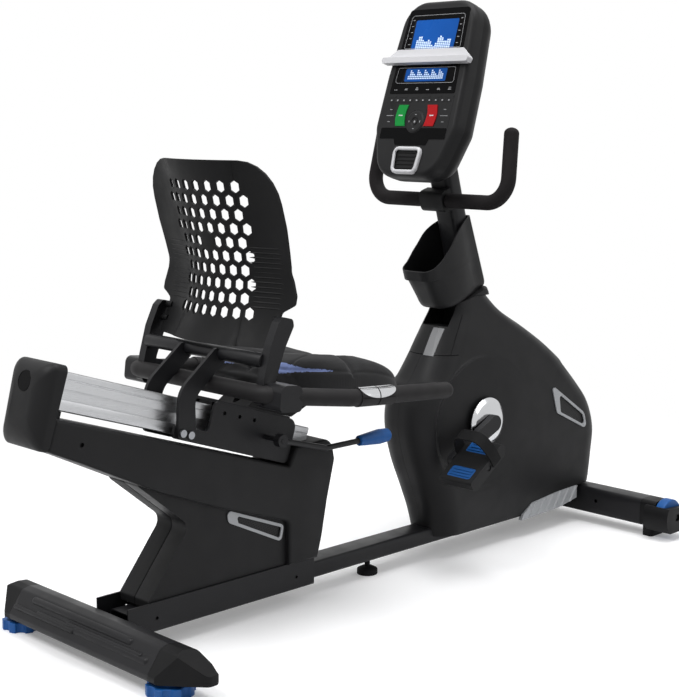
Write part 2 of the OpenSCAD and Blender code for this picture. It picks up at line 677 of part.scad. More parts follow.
flywheel_plate = [[crank_x + 120, beam_top + 1, 0], [flywheel_x + 52, beam_top + 1, 0],
    [flywheel_x + 50, 130, 20], [flywheel_x + 18, flywheel_z + 18, 12],
    [flywheel_x - 22, flywheel_z + 18, 12], [crank_x + 150, 150, 20]];
module drive_frame() color("#3a3a3d") place() difference() {
    union() {
        translate([crank_x, 0, crank_z]) rotate([90, 0, 0]) cylinder(d = 48, h = 64, center = true);
        slab_xz(outline([[crank_x - 40, beam_top + 1, 0], [crank_x + 60, beam_top + 1, 0],
            [crank_x + 40, crank_z, 20], mast_point(26, -mast_down - gap), mast_point(-26,
            -mast_down - gap), [crank_x - 24, crank_z, 20]]), -10, 10);
        on_mast() slab_xz([[-17, -mast_down - 8], [17, -mast_down - 8], [17, -12], [-17, -12]], -9, 9);
        slab_xz(outline(flywheel_plate), 50, 56);
        slab_xz(outline(flywheel_plate), -28, -22);
        slab_xy([[crank_x - 46, -30], [flywheel_x + 54, -30], [flywheel_x + 54, 58], [crank_x - 46,
            58]], beam_top, beam_top + floor_t);
        translate(brake_pivot) rotate([90, 0, 0]) cylinder(d = 8, h = 82, center = true);
    }
    translate([crank_x, 0, crank_z]) rotate([90, 0, 0]) cylinder(d = 35, h = 80, center = true);
    translate([flywheel_x, 0, flywheel_z]) rotate([90, 0, 0]) cylinder(d = flywheel_axle_d + 2 * fit,
        h = 140, center = true);
}

module mast() color("#232326") place() on_mast() {
    c = bar_corners(mast_d, mast_w, 14);
    difference() {
        translate([0, 0, -mast_down]) linear_extrude(mast_down + mast_up) polygon(outline(c));
        translate([0, 0,
            -mast_down - 1]) linear_extrude(mast_down + mast_up + 2) polygon(outline(inset(c, tube_wall)));
    }
}

// Plan of the cup holder at height h up the mast, d inside its outer face
function cup_ring(h, d) =
    let (a = -lerp(122, 146, min(1, max(0, h - cup_up) / 78)) - (h > 108 ? 8 : 0) + d, b = lerp(42, 28,
        h / 200) - d)
    let (w = lerp(52, 60, min(1, max(0, h - cup_up) / 90)) - d, e = mast_w / 2 + 4 - d)
    let (k = [[a, -w * 0.86, 30 - d], [b, -e, 10], [b, e, 10], [a, w * 0.86, 30 - d]])
    [for (q = outline(k, 6)) [q.x, q.y + sign(q.y) * 9 * max(0, 1 - pow((q.x + 60) / 62, 2)), h]];
module cup_holder() color("#2b2b2e") place() on_mast() difference() {
    skin([for (k = [[cup_up, 7], [cup_up + 6, 2], [cup_up + 16, 0], [76, 0], [106, 0], [109, 0], [140,
        0], [206, 0]]) cup_ring(k.x, k.y)]);
    skin([for (k = [[cup_up + 10, 8], [cup_up + 18, 4], [76, 3.5], [106, 3.5], [109, 3.5], [140, 3.5],
        [210, 3.5]]) cup_ring(k.x, k.y)]);
    slab_xz([[-300, 131], [-148, 132], [-82, 160], [-41, 187], [5, 201], [80, 212], [80, 300], [-300,
        300]], -120, 120);
    translate([0, 0, 10]) linear_extrude(230) polygon(outline(bar_corners(mast_d + 2 * gap,
        mast_w + 2 * gap, 14 + gap)));
}

bar_mid = [mast_x - bar_up * sin(mast_rake) - (mast_d / 2) * cos(mast_rake) - bar_d / 2 - 5, 0,
    mast_z + bar_up * cos(mast_rake)];
bar_path = [for (q = [[26, -0.94, 1], [0, -1, 0], [0, 1, 0], [26, 0.94, 1]])
    bar_mid + [q.x, q.y * bar_span / 2, q.z * bar_rise]];
module handlebar() color("#1a1a1b") place() bar(bar_path, bar_d, 52, [1, 0, 0], 18, 2);
module foam_grips() color("#1d1c1d") place() both()
    sleeve([bar_path[0] + unit(bar_path[0] - bar_path[1]) * 3, bar_path[1], [bar_path[1].x, -66,
        bar_path[1].z]], foam_d, bar_d + 2 * gap, 52, [1, 0, 0]);
module bar_clamp() color("#202022") place() difference() {
    m = bar_mid;
    front = (bar_d / 2 + 5) * cos(mast_rake) - mast_d / 2 * pow(sin(mast_rake), 2) - gap;
    translate(m) rotate([0, -mast_rake, 0])
        slab_xz(outline([[-bar_d / 2 - 7, -24, 14], [front, -24, 0], [front, 24, 0], [-bar_d / 2 - 7,
            24, 14]]), -34, 34);
    translate(m + [0, -60, 0]) rotate([-90, 0, 0]) cylinder(d = bar_d + 2 * fit, h = 120);
}

console_corners = [[-76, -80, 66], [76, -80, 66], [console_w / 2, 30, 60], [console_w / 2 - 3, 150,
    90], [console_w / 2 - 18, console_l - 80, 62],
    [-console_w / 2 + 18, console_l - 80, 62], [-console_w / 2 + 3, 150, 90], [-console_w / 2, 30, 60]];
panel_corners = [[-97, 108, 4], [97, 108, 4], [88, 303, 8], [-88, 303, 8]];
keypad_corners = [[-98, 4, 4], [-52, 4, 2], [-46, -10, 6], [46, -10, 6], [52, 4, 2], [98, 4, 4], [98,
    106, 4], [-98, 106, 4]];
fan_corners = [[-34, -72, 12], [34, -72, 12], [40, -14, 12], [-40, -14, 12]];
function console_ring(w, d) = [for (q = outline(inset(console_corners, d), 4)) [q.x, q.y, w]];
module console_front() color("#2c2c2e") place() on_console() difference() {
    skin([for (k = [[-30, 0], [-16, 0], [-6, 4], [0, 13]]) console_ring(k.x, k.y)]);
    skin([for (k = [[-31, 3], [-16, 3], [-8, 7], [-4, 13]]) console_ring(k.x, k.y)]);
    slab_xy(outline(inset(panel_corners, -gap)), -6, 3);
    slab_xy(outline(inset(keypad_corners, -gap)), -6, 3);
    slab_xy(outline(inset(fan_corners, -gap)), -40, 20);
}
module console_back() color("#262628") place() difference() {
    on_console() {
        difference() {
            skin([for (k = [[-30 - console_d, 34], [-30 - console_d * 0.7, 14], [-52, 2], [-30.3,
                0]]) console_ring(k.x, k.y)]);
            skin([for (k = [[-27 - console_d, 36], [-28 - console_d * 0.7, 17], [-52, 5], [-29,
                3]]) console_ring(k.x, k.y)]);
        }
    }
    on_mast() translate([0, 0,
        -mast_down]) linear_extrude(mast_down + mast_up + 40) polygon(outline(bar_corners(mast_d + 2 *
        gap, mast_w + 2 * gap, 14 + gap)));
}
module console_panel() color("#0c0c0e") place() on_console() difference() {
    slab_xy(outline(panel_corners), -5.7, 0.6);
    translate([0, 238, 0]) slab_xy(outline(bar_corners(126, 80, 3)), -1.2, 3);
    translate([0, 151, 0]) slab_xy(outline(bar_corners(122, 30, 3)), -1.2, 3);
}
module displays() color("#1d5fae") place() on_console() {
    translate([0, 238, 0]) slab_xy(outline(bar_corners(126 - 2 * gap, 80 - 2 * gap, 3)), -1.2, 0.3);
    translate([0, 151, 0]) slab_xy(outline(bar_corners(122 - 2 * gap, 30 - 2 * gap, 3)), -1.2, 0.3);
}
module media_shelf() color("#e8e8ea") place() on_console() {
    c = [[-124, 174, 3], [124, 174, 3], [128, 184, 5], [97, 209, 4], [-97, 209, 4], [-128, 184, 5]];
    difference() {
        slab_xy(outline(c), 0.9, 18);
        slab_yz([[186, 6], [230, 4], [230, 40], [190, 40]], -200, 200);
    }
}
module keypad() color("#2a2a2c") place() on_console() difference() {
    union() {
        slab_xy(outline(keypad_corners), -5.7, 0.4);
        for (i = [0:9]) translate([-85 + i * 18.9, 93, 0]) slab_xy(outline(bar_corners(13, 8, 2)), 0, 0.9);
        for (i = [0:5]) translate([-85 + i * 34, 101.5, 0]) slab_xy(outline(bar_corners(24, 4, 1)), 0, 0.9);
        for (x = [-84, 84]) for (y = [18, 88]) translate([x, y, board_z + gap]) cylinder(d = 7,
            h = -5 - board_z);
    }
    for (k = [-1, 1]) slab_xy(outline(key_corners(k, gap)), -9, 3);
    translate([0, 44, -9]) cylinder(r = 26 + gap, h = 14);
}
function key_corners(k, d) = [for (q = [[27, 34], [61, 34], [61, 82], [27, 82]])
    [k * (44 + (q.x - 44) * (17 + d) / 17), 58 + (q.y - 58) * (24 + d) / 24, 5]];
module push_key(k) {
    slab_xy(outline(key_corners(k, 0)), -4 - key_travel, 2.2);
    slab_xy(outline(key_corners(k, -3)), -8, 0);
}
module start_key() color("#2fa24a") place() on_console() push_key(-1);
module stop_key() color("#d02a2c") place() on_console() push_key(1);
module nav_key() color("#202022") place() on_console() translate([0, 44, -8]) {
    cylinder(r = 22, h = 4);
    cylinder(r = 26, h = 8.5);
    translate([0, 0, 8.5]) rotate_extrude() polygon(outline([[8, 0, 0], [26, 0, 0], [22, 2, 1], [10, 2,
        0.5]]));
    translate([0, 0, 8]) cylinder(r = 7, h = 2);
}
module fan_bezel() color("#c4c6c9") place() on_console() {
    difference() {
        union() {
            slab_xy(outline(fan_corners), -24, 2);
            slab_xy(outline(inset(fan_corners, 2)), 0, 7);
        }
        slab_xy(outline(inset(fan_corners, 11)), -20, 30);
        translate([0, -43, -30]) cylinder(r = 17, h = 20);
    }
    for (i = [0:4]) translate([-29, -59 + i * 8.2, -4]) rotate([30, 0, 0]) cube([58, 1.6, 8]);
}
module console_board() color("#1f5a35") place() on_console() difference() {
    slab_xy(outline(inset(keypad_corners, 6)), board_z - 1.6, board_z);
    slab_xy(outline(inset(fan_corners, -4)), -40, 20);
}

module crank_bearings() color("#9a9da1") place() both() translate([crank_x, 20, crank_z]) rotate([-90,
    0, 0]) difference() {
    cylinder(d = 35 - 2 * 0.02, h = 12);
    translate([0, 0, -1]) cylinder(d = axle_d + 2 * fit, h = 14);
}
function pedal_at(k) = [crank_x - k * crank_len * cos(crank_rest), 0,
    crank_z - k * crank_len * sin(crank_rest)];
module crank_arm() {
    rotate([90, 0, 0]) linear_extrude(arm_t_y) polygon(pair_outline(crank_len, 19, 14));
}
module crank_set() color("#26262a") place() {
    translate([crank_x, 0, crank_z]) {
        rotate([90, 0, 0]) cylinder(d = axle_d, h = 2 * (arm_y + 1), center = true);
        translate([0, -arm_y, 0]) rotate([0, 180 - crank_rest, 0]) crank_arm();
        mirror([0, 1, 0]) translate([0, -arm_y, 0]) rotate([0, -crank_rest, 0]) crank_arm();
    }
    for (k = [-1, 1]) translate(pedal_at(-k) + [0, k * (arm_y + 2), 0]) rotate([-90 * k, 0, 0])
        cylinder(d = spindle_d, h = arm_t_y + pedal_w);
}
module crank_discs() color("#cfd1d4") place() both() translate([crank_x, 0, crank_z]) rotate([-90, 0,
    0]) rotate_extrude()
    polygon(outline([[axle_d / 2 + fit, 76, 0], [disc_d / 2, 76, 1], [disc_d / 2, 79, 2],
        [disc_d / 2 - 10, 84, 6], [axle_d / 2 + fit, 87.7, 0]]));
module drive_pulley() color("#3d3d40") place() translate([crank_x, belt_y, crank_z]) rotate([-90, 0,
    0]) difference() {
    rotate_extrude($fn = 96) polygon([[axle_d / 2 + fit, -1], [20, -1], [20, 3], [pulley_r - 14, 3],
        [pulley_r - 14, 0], [pulley_r, 0], [pulley_r, belt_w + 2], [pulley_r - 14, belt_w + 2],
        [pulley_r - 14, 8], [20, 8], [20, belt_w + 2], [axle_d / 2 + fit, belt_w + 2]]);
    for (i = [0:5]) rotate(i * 60) translate([pulley_r * 0.55, 0, -5]) cylinder(d = pulley_r * 0.34,
        h = 30);
}
module drive_belt() color("#161617") place() translate([crank_x, belt_y + 1, crank_z]) {
    l = norm([flywheel_dx, flywheel_dz]);
    rotate([0, atan2(flywheel_dz, flywheel_dx), 0]) translate([0, belt_w, 0]) rotate([90, 0,
        0]) difference() {
        linear_extrude(belt_w) polygon(pair_outline(l, pulley_r + gap + belt_t,
            pinion_r + gap + belt_t, 36));
        translate([0, 0, -1]) linear_extrude(belt_w + 2) polygon(pair_outline(l, pulley_r + gap,
            pinion_r + gap, 36));
    }
}
module flywheel() color("#6d7075") place() translate([flywheel_x, 0, flywheel_z]) rotate([-90, 0, 0]) {
    h = flywheel_t / 2;
    a = flywheel_axle_d / 2 + fit;
    rotate_extrude($fn = 96) polygon([[a, -h - 3], [26, -h - 3], [26, -10], [flywheel_r - 24, -10],
        [flywheel_r - 24, -h], [flywheel_r, -h], [flywheel_r, h], [flywheel_r - 24, h],
        [flywheel_r - 24, 10], [26, 10], [26, h + 3], [a, h + 3]]);
    difference() {
        translate([0, 0, h + 2]) cylinder(r = pinion_r, h = 48 - h - 2);
        cylinder(r = a, h = 60);
    }
}
module flywheel_axle() color("#9a9da1") place() translate([flywheel_x, 0, flywheel_z]) rotate([-90, 0, 0]) {
    translate([0, 0, -36]) cylinder(d = flywheel_axle_d, h = 100);
    translate([0, 0, -34]) cylinder(d = 24, h = 5.7, $fn = 6);
    translate([0, 0, 56.3]) cylinder(d = 24, h = 5.7, $fn = 6);
}
brake_a = [212, 284];
brake_r = flywheel_r + 4;
brake_pivot = [flywheel_x + (brake_r + 6) * cos(brake_a.y + 4), 14,
    flywheel_z + (brake_r + 6) * sin(brake_a.y + 4)];
module brake_arm() color("#55585c") place() translate([flywheel_x, 0, flywheel_z]) rotate([90, 0,
    0]) difference() {
    union() {
        translate([0, 0, -18]) linear_extrude(36) polygon(concat(
            [for (i = [0:16]) let (a = lerp(brake_a.x, brake_a.y, i / 16)) brake_r * [cos(a), sin(a)]],
            [for (i = [16:-1:0]) let (a = lerp(brake_a.x, brake_a.y, i / 16)) (brake_r + 10) * [cos(a),
                sin(a)]]));
        translate([(brake_r + 6) * cos(brake_a.y + 4), (brake_r + 6) * sin(brake_a.y + 4),
            -18]) cylinder(d = 18, h = 36);
    }
    translate([(brake_r + 6) * cos(brake_a.y + 4), (brake_r + 6) * sin(brake_a.y + 4),
        -30]) cylinder(d = 8 + 2 * fit, h = 60);
}
module brake_servo() color("#1c1c1e") place() translate([crank_x + 94, 0, beam_top + floor_t + gap]) {
    slab_xy(outline(bar_corners(52, 40, 6)), 0, 40);
    translate([10, 0, 40]) cylinder(d = 22, h = 10);
}

module pedal_body() {
    y0 = arm_y + arm_t_y + 4;
    difference() {
        union() {
            rotate([0, -pedal_tilt, 0]) slab_xz(outline([[-pedal_l / 2, -6, 5], [-pedal_l / 2 + 8,
                -pedal_t / 2, 8], [pedal_l / 2 - 12, -pedal_t / 2, 10], [pedal_l / 2, 0, 6],
                [pedal_l / 2 - 4, pedal_t / 2, 5], [-pedal_l / 2, pedal_t / 2, 5]]), y0, y0 + pedal_w);
        }
        rotate([0, -pedal_tilt, 0]) for (k = [-1, 1]) translate([k * pedal_l * 0.29, y0 + pedal_w / 2, 0])
            slab_xy(outline(bar_corners(pedal_l * 0.24, pedal_w - 26, 6)), -40, 40);
        translate([0, y0 - 1, 0]) rotate([-90, 0, 0]) cylinder(d = spindle_d + 2 * fit, h = pedal_w + 40);
    }
}
module pedal_left() color("#232325") place() translate(pedal_at(-1)) pedal_body();
module pedal_right() color("#232325") place() translate(pedal_at(1)) mirror([0, 1, 0]) pedal_body();
module toe_strap() {
    y0 = arm_y + arm_t_y + 4;
    w = pedal_w / 2;
    c = [[-w - 3.5, -8, 0], [-w - gap, -8, 0], [-w - gap, 20, 0], [-w + 12, strap_h, 26], [w - 12,
        strap_h, 26], [w + gap, 20, 0], [w + gap, -8, 0], [w + 3.5, -8, 0], [w + 3.5, 22, 0], [w - 10,
        strap_h + 3.2, 29], [10 - w, strap_h + 3.2, 29], [-w - 3.5, 22, 0]];
    rotate([0, -pedal_tilt, 0]) translate([spindle_d / 2 + 3, y0 + w, 0]) slab_yz(outline(c), 0, strap_w);
}
module pedal_strap_left() color("#161617") place() translate(pedal_at(-1)) toe_strap();
module pedal_strap_right() color("#161617") place() translate(pedal_at(1)) mirror([0, 1, 0]) toe_strap();

module carriage() color("#232326") place() on_rail() {
    w = plate_y + plate_t;
    b = arm_t + 4;
    both() difference() {
        slab_xz(outline([[carriage_s - 84, b + 4, 8], [carriage_s + carriage_l, b, 12],
            [carriage_s + carriage_l, bridge_t - 3, 20], [carriage_s, bridge_t - 3, 12], [carriage_s,
            -16, 8], [carriage_s - 84, -16, 8]]), plate_y, w);
        for (s = [30, 70, 110]) translate([carriage_s + s, 0, 26]) rotate([-90, 0, 0]) cylinder(d = 8,
            h = 100);
        for (s = [-70, -50]) translate([carriage_s + s, 0, -29]) rotate([-90, 0,
            0]) cylinder(d = 8 + 2 * gap, h = 100);
    }
    difference() {
        translate([carriage_s + 10, -w + 1, bridge_t - 6]) cube([carriage_l - 30, 2 * w - 2, 6]);
        translate([brake_s, 0, 0]) cylinder(d = 10 + 2 * fit, h = 100);
    }
    for (s = [16, carriage_l - 46]) {
        both() translate([carriage_s + s, rail_w / 2 - groove_d + gap, -5 - groove_h / 2 + gap])
            cube([30, plate_y + 1 - rail_w / 2 + groove_d - gap, groove_h - 2 * gap]);
        translate([carriage_s + s, -20, rail_h / 2 + gap]) cube([26, 40,
            bridge_t - 5.5 - rail_h / 2 - gap]);
    }
    translate([lever_s, -w + 1, -2]) rotate([90, 0, 0]) cylinder(d = 10, h = lever_y + 18 - w);
}

module seat_brake() color("#161617") place() on_rail() {
    translate([brake_s - 30, -22, rail_h / 2 + gap]) cube([60, 44, 4]);
    translate([brake_s, 0, rail_h / 2 + 2]) cylinder(d = 10, h = 18);
}

module seat_frame() color("#262628") place() {
    w = plate_y + plate_t + gap;
    difference() {
        both() {
            slab_xz(outline([[250, 476, 6], [284, 472, 6], [290, 520, 40], [314, 578, 40], [336, 616,
                8], [334, 630, 8],
                [310, 636, 8], [298, 626, 8], [278, 585, 40], [262, 530, 40]]), post_y, post_y + post_t);
            slab_xz(outline([[256, 468, 10], [312, 462, 10], [314, 512, 14], [262, 518, 14]]),
                post_y + 4, handle_span / 2 - 8);
        }
        bar(handle_run, handle_d + 2 * gap, handle_bend, [0, 0, 1], 18);
    }
    both() difference() {
        slab_xz(outline([[164, 403, 6], [208, 389, 6], [206, 478, 40], [284, 541, 6], [262, 570, 8],
            [168, 494, 60]], 8), w, w + 8);
        on_rail() for (s = [-70, -50]) translate([carriage_s + s, 0, -29]) rotate([-90, 0,
            0]) cylinder(d = 8 + 2 * gap, h = 100);
    }
    translate([276, 0, 555]) rotate([90, 0, 0]) cylinder(d = cross_d, h = 2 * post_y + 8, center = true);
}

module seat_pan() color("#1f1f21") place() {
    on_seat() slab_xy(outline([[16, -172, 40], [pad_l - 30, -140, 50], [pad_l - 30, 140, 50], [16, 172,
        40]]), -10, 0);
    c = [rpr(348, bridge_t + gap, 0), rpr(470, bridge_t + gap, 0), pan_point(186, -8), pan_point(14, -8)];
    difference() {
        slab_xz(outline(c), -46, 46);
        slab_xz(outline(inset(c, 5)), -40, 40);
        on_rail() translate([brake_s, 0, 20]) cylinder(d = 16, h = 60);
    }
}
function pan_point(p, q) = [seat_x + p * cos(seat_slope) + q * sin(seat_slope),
    seat_zz - p * sin(seat_slope) + q * cos(seat_slope), 0];

module seat_bolts() color("#8d9094") place() both() on_rail() for (s = [-70, -50])
    translate([carriage_s + s, 0, -29]) rotate([-90, 0, 0]) {
        translate([0, 0, plate_y - 2]) cylinder(d = 8, h = plate_t + 14);
        translate([0, 0, plate_y + plate_t + 8 + 2 * gap]) cylinder(d = 15, h = 5);
    }

function handle_path(k) = [[702, k * handle_span / 2, 453], [430, k * handle_span / 2, 474], [258,
    k * handle_span * 0.43, 496]];
handle_run = concat(handle_path(-1), [for (i = [2:-1:0]) handle_path(1)[i]]);
handle_bend = 46;
module side_handles() color("#1e1e20") place() bar(handle_run, handle_d, handle_bend, [0, 0, 1], 18,
    handle_d / 2);

module pulse_contacts() color("#c9cbce") place() both() {
    q = handle_path(1);
    e = unit(q[0] - q[1]);
    difference() {
        rod(q[1] + e * 16, q[1] + e * 112, handle_d + 4);
        rod(q[1], q[1] + e * 140, handle_d + 2 * gap);
        translate(q[1] + e * 64 - [1.5, 60, 60]) cube([3, 120, 120]);
        translate(q[1] - [0, 60, 1]) rotate([0, atan2(21, 272), 0]) cube([200, 120, 2]);
    }
}

// Height of the cushion above its base at p along the seat and y across it
function pad_top(p, y) = pad_h + 20 * pow(abs(y) / (pad_w / 2), 2) - 42 * pow(max(0,
    p - pad_l * 0.5) / (pad_l * 0.5), 2) - 9 * exp(-pow(y / 15,
    2)) - 4 * exp(-pow((p - pad_l * 0.36) / 10, 2));
function pad_ring(s, h, n = 52) = [for (i = [0:n - 1])
    let (a = i * 360 / n, c = cos(a), d = sin(a))
    let (x = sign(c) * pow(abs(c), 0.5) * s, y = sign(d) * pow(abs(d), 0.5) * s)
    let (p = pad_l / 2 * (1 + x), q = pad_w / 2 * y * (1 - 0.1 * x))
    [p, q, h < 0 ? -h : h * pad_top(p, q)]];
module seat_pad() color("#2e2e30") place() on_seat()
    skin([pad_ring(0.93, -gap), pad_ring(0.985, -10), pad_ring(1, -20), pad_ring(0.985, 0.7),
        pad_ring(0.94, 0.9), pad_ring(0.86, 0.98), pad_ring(0.7, 1), pad_ring(0.5, 1), pad_ring(0.3,
        1), pad_ring(0.1, 1)]);

// Fore-and-aft place of the backrest's middle at height z
function back_x(z) = let (d = z - lumbar_z) lumbar_x - (d > 0 ? 0.27 * d * d / (d + 25) : 0.0025 * d * d);
// Distance of the wings' axis from the axis of the middle
wing_reach = back_r + wing_r;
back_axis = [lumbar_x + back_r, 0, 0];
wing_axis = back_axis + wing_reach * [-cos(wing_turn), sin(wing_turn), 0];
function back_radius(z) = back_axis.x - back_x(z);
function wing_radius(z) = wing_reach - back_radius(z);
// Fore-and-aft place of a wing at y across and height z
function wing_x(y, z) = wing_axis.x + sqrt(pow(wing_radius(z), 2) - pow(wing_axis.y - y, 2));
back_heights = [for (i = [0:14]) 570 + i * 26];
// Wing, a little thinner than the middle and let into it
module back_wing() {
    t = back_t / 2 - 0.5;
    translate(wing_axis) rotate([0, 0, -wing_turn - 1]) rotate_extrude(angle = wing_turn + 7, $fn = 120)
        polygon(concat([for (z = back_heights) [wing_radius(z) - t, z]],
            [for (i = [14:-1:0]) [wing_radius(back_heights[i]) + t, back_heights[i]]]));
}
back_edge = [[166, 574, 14], [170, 640, 8], [200, 656, 6], [200, 672, 12], [184, 716, 30], [192, 800,
    80], [190, 926, 82]];
module seat_back() color("#1d1d1f") place() {
    o = outline(concat(back_edge, [for (i = [len(back_edge) - 1:-1:0]) [-back_edge[i].x,
        back_edge[i].y, back_edge[i].z]]), 6);
    hex = [[-hole_w / 2, -hole_h / 4], [0, -hole_h / 2], [hole_w / 2, -hole_h / 4],
        [hole_w / 2, hole_h / 4], [0, hole_h / 2], [-hole_w / 2, hole_h / 4]];
    difference() {
        intersection() {
            union() {
                translate(back_axis) rotate([0, 0,
                    180 - wing_turn]) rotate_extrude(angle = 2 * wing_turn, $fn = 120)
                    polygon(concat([for (z = back_heights) [back_radius(z) - back_t / 2, z]],
                        [for (i = [14:-1:0]) [back_radius(back_heights[i]) + back_t / 2,
                            back_heights[i]]]));
                both() back_wing();
            }
            slab_yz(o, 150, 450);
        }
        for (j = [0:hole_rows - 1]) for (i = [0:6 + j % 2]) if (!(j == 4 && i == 3)) {
            a = (i - 3 - (j % 2) * 0.5) * hole_pitch / back_r * 180 / PI;
            translate(back_axis + [0, 0, 876 - j * row_pitch]) rotate([0, 0, 180 + a])
                slab_yz(hex, back_r - 40, back_r + 90);
        }
    }
    for (z = [600, 626]) both() translate([wing_x(162, z), 156, z]) rotate([-90, 0, 0])
        cylinder(d = 14, h = post_y - gap - 156);
}

module seat_lever() color("#1f5fa0") place() {
    p = [rp(lever_s, -2).x, -lever_y - 8, rp(lever_s, -2).y];
    difference() {
        union() {
            translate(p + [0, 8, 0]) rotate([90, 0, 0]) cylinder(d = 26, h = 16);
            bar([p + unit([512, 0, 337] - [p.x, 0, p.z]) * 8, [512, p.y, 337], [614, p.y, 337]],
                lever_d, 30, [0, 1, 0], 16);
            translate([606, p.y, 337]) rotate([0, 90, 0]) rotate_extrude() polygon(outline([[0, 0, 0],
                [11, 0, 2], [16, 60, 20], [14, 88, 8], [0, 92, 0]]));
        }
        translate(p + [0, 30, 0]) rotate([90, 0, 0]) cylinder(d = 10 + 2 * fit, h = 60);
    }
}

main_frame();
rear_stabilizer();
rear_end_caps();
rear_foot_right();
rear_foot_left();
centre_foot();
front_stabilizer();
front_end_caps();
transport_wheel_right();
transport_wheel_left();
tower_frame();
tower_cover_right();
tower_cover_left();
rail();
rail_end_cap();
vents();
shroud_right();
shroud_left();
trims();
mast_collar();
drive_frame();
mast();
cup_holder();
handlebar();
foam_grips();
bar_clamp();
console_back();
console_front();
console_panel();
displays();
media_shelf();
keypad();
start_key();
stop_key();
nav_key();
fan_bezel();
console_board();
crank_bearings();
crank_set();
crank_discs();
drive_pulley();
drive_belt();
flywheel();
flywheel_axle();
brake_arm();
brake_servo();
pedal_right();
pedal_left();
pedal_strap_right();
pedal_strap_left();
carriage();
seat_brake();
seat_frame();
seat_pan();
seat_bolts();
side_handles();
pulse_contacts();
seat_pad();
seat_back();
seat_lever();
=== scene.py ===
"""Looks of a recumbent exercise bike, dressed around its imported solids.

Sizes are millimetres along the bike from its rear stabilizer, as on the drawing: x forward,
y to the rider's left and z up from the floor. The frame's own metres come from `at`.
"""

from __future__ import annotations

import json
import logging
import math
from dataclasses import dataclass, field
from enum import Enum
from typing import Any, Iterable, Sequence

import bmesh
import bpy
from mathutils import Matrix, Vector


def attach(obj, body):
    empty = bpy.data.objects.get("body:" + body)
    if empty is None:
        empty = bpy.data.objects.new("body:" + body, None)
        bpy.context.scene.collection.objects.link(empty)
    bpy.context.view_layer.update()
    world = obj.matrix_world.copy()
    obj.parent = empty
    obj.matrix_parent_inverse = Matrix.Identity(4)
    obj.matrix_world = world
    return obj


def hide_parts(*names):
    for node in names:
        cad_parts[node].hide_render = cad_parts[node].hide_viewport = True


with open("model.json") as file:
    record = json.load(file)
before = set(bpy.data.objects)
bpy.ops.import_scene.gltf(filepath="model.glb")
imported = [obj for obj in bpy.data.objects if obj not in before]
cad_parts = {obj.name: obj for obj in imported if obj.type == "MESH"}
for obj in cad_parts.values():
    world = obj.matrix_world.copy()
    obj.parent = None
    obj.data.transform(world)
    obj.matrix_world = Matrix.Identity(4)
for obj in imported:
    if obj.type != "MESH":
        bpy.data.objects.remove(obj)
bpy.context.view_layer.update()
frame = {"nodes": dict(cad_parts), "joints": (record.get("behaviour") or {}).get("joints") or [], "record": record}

LOG = logging.getLogger("recumbent_bike")
MM = 0.001
MERGE = 2e-5
SAME_POINT = 1e-6
FLAT_DEGREES = 0.3
ROUND_SIDES = 96
SIDES = ((-1.0, "right"), (1.0, "left"))
CRANK_X = 1044.0
JOINTS = {joint["name"]: joint for joint in frame["joints"]}
CRANK = Vector(JOINTS["crank_turn"]["pos_m"])
ORIGIN_X = CRANK_X - CRANK.x / MM
BODY_OF = {node: body for body, nodes in frame["record"]["behaviour"]["bodies"].items() for node in nodes}

Point2 = tuple[float, float]
Corner = tuple[float, float, float]
Ring = list[Vector]


def at(x: float, y: float, z: float) -> Vector:
    """Point of the frame for a place on the bike in millimetres."""
    return Vector(((x - ORIGIN_X) * MM, y * MM, z * MM))


@dataclass(frozen=True)
class Tilted:
    """A plane of reference that is turned about the bike's width.

    Attributes:
        x: Place of its zero along the bike.
        z: Height of its zero.
        lean: Degrees by which its forward axis dips below the level.
    """

    x: float
    z: float
    lean: float

    def at(self, along: float, y: float, up: float) -> Vector:
        """Point of the frame for a place in this plane's own millimetres."""
        turn = math.radians(self.lean)
        return at(
            self.x + along * math.cos(turn) + up * math.sin(turn),
            y,
            self.z - along * math.sin(turn) + up * math.cos(turn),
        )

    def local(self, point: Vector) -> Vector:
        """Place in this plane's own millimetres of a point of the frame."""
        turn = math.radians(self.lean)
        x, z = point.x / MM + ORIGIN_X - self.x, point.z / MM - self.z
        cos, sin = math.cos(turn), math.sin(turn)
        return Vector((x * cos - z * sin, point.y / MM, x * sin + z * cos))


RAIL = Tilted(0.0, 500.0, 18.0)
MAST = Tilted(1056.0, 580.0, -16.0)
SEAT = Tilted(372.0, 474.0, 8.4)
FACE = Tilted(861.0, 952.0, 18.0)


def on_face(right: float, up: float, out: float) -> Vector:
    """Point of the frame for a place on the console's face.

    Args:
        right: Millimetres toward the rider's right.
        up: Millimetres up the face.
        out: Millimetres out of the face, toward the rider.

    Returns:
        The point in metres.
    """
    return FACE.at(-out, -right, up)


def off_face(out: float) -> Vector:
    """Step of that many millimetres out of the console's face, in metres."""
    return on_face(0.0, 0.0, out) - on_face(0.0, 0.0, 0.0)


def hump(off: float, width: float) -> float:
    """Share of a rounded groove's depth at a distance from its middle."""
    return math.exp(-((off / width) ** 2))


def between(value: float) -> float:
    """The value, kept between nothing and one."""
    return min(1.0, max(0.0, value))


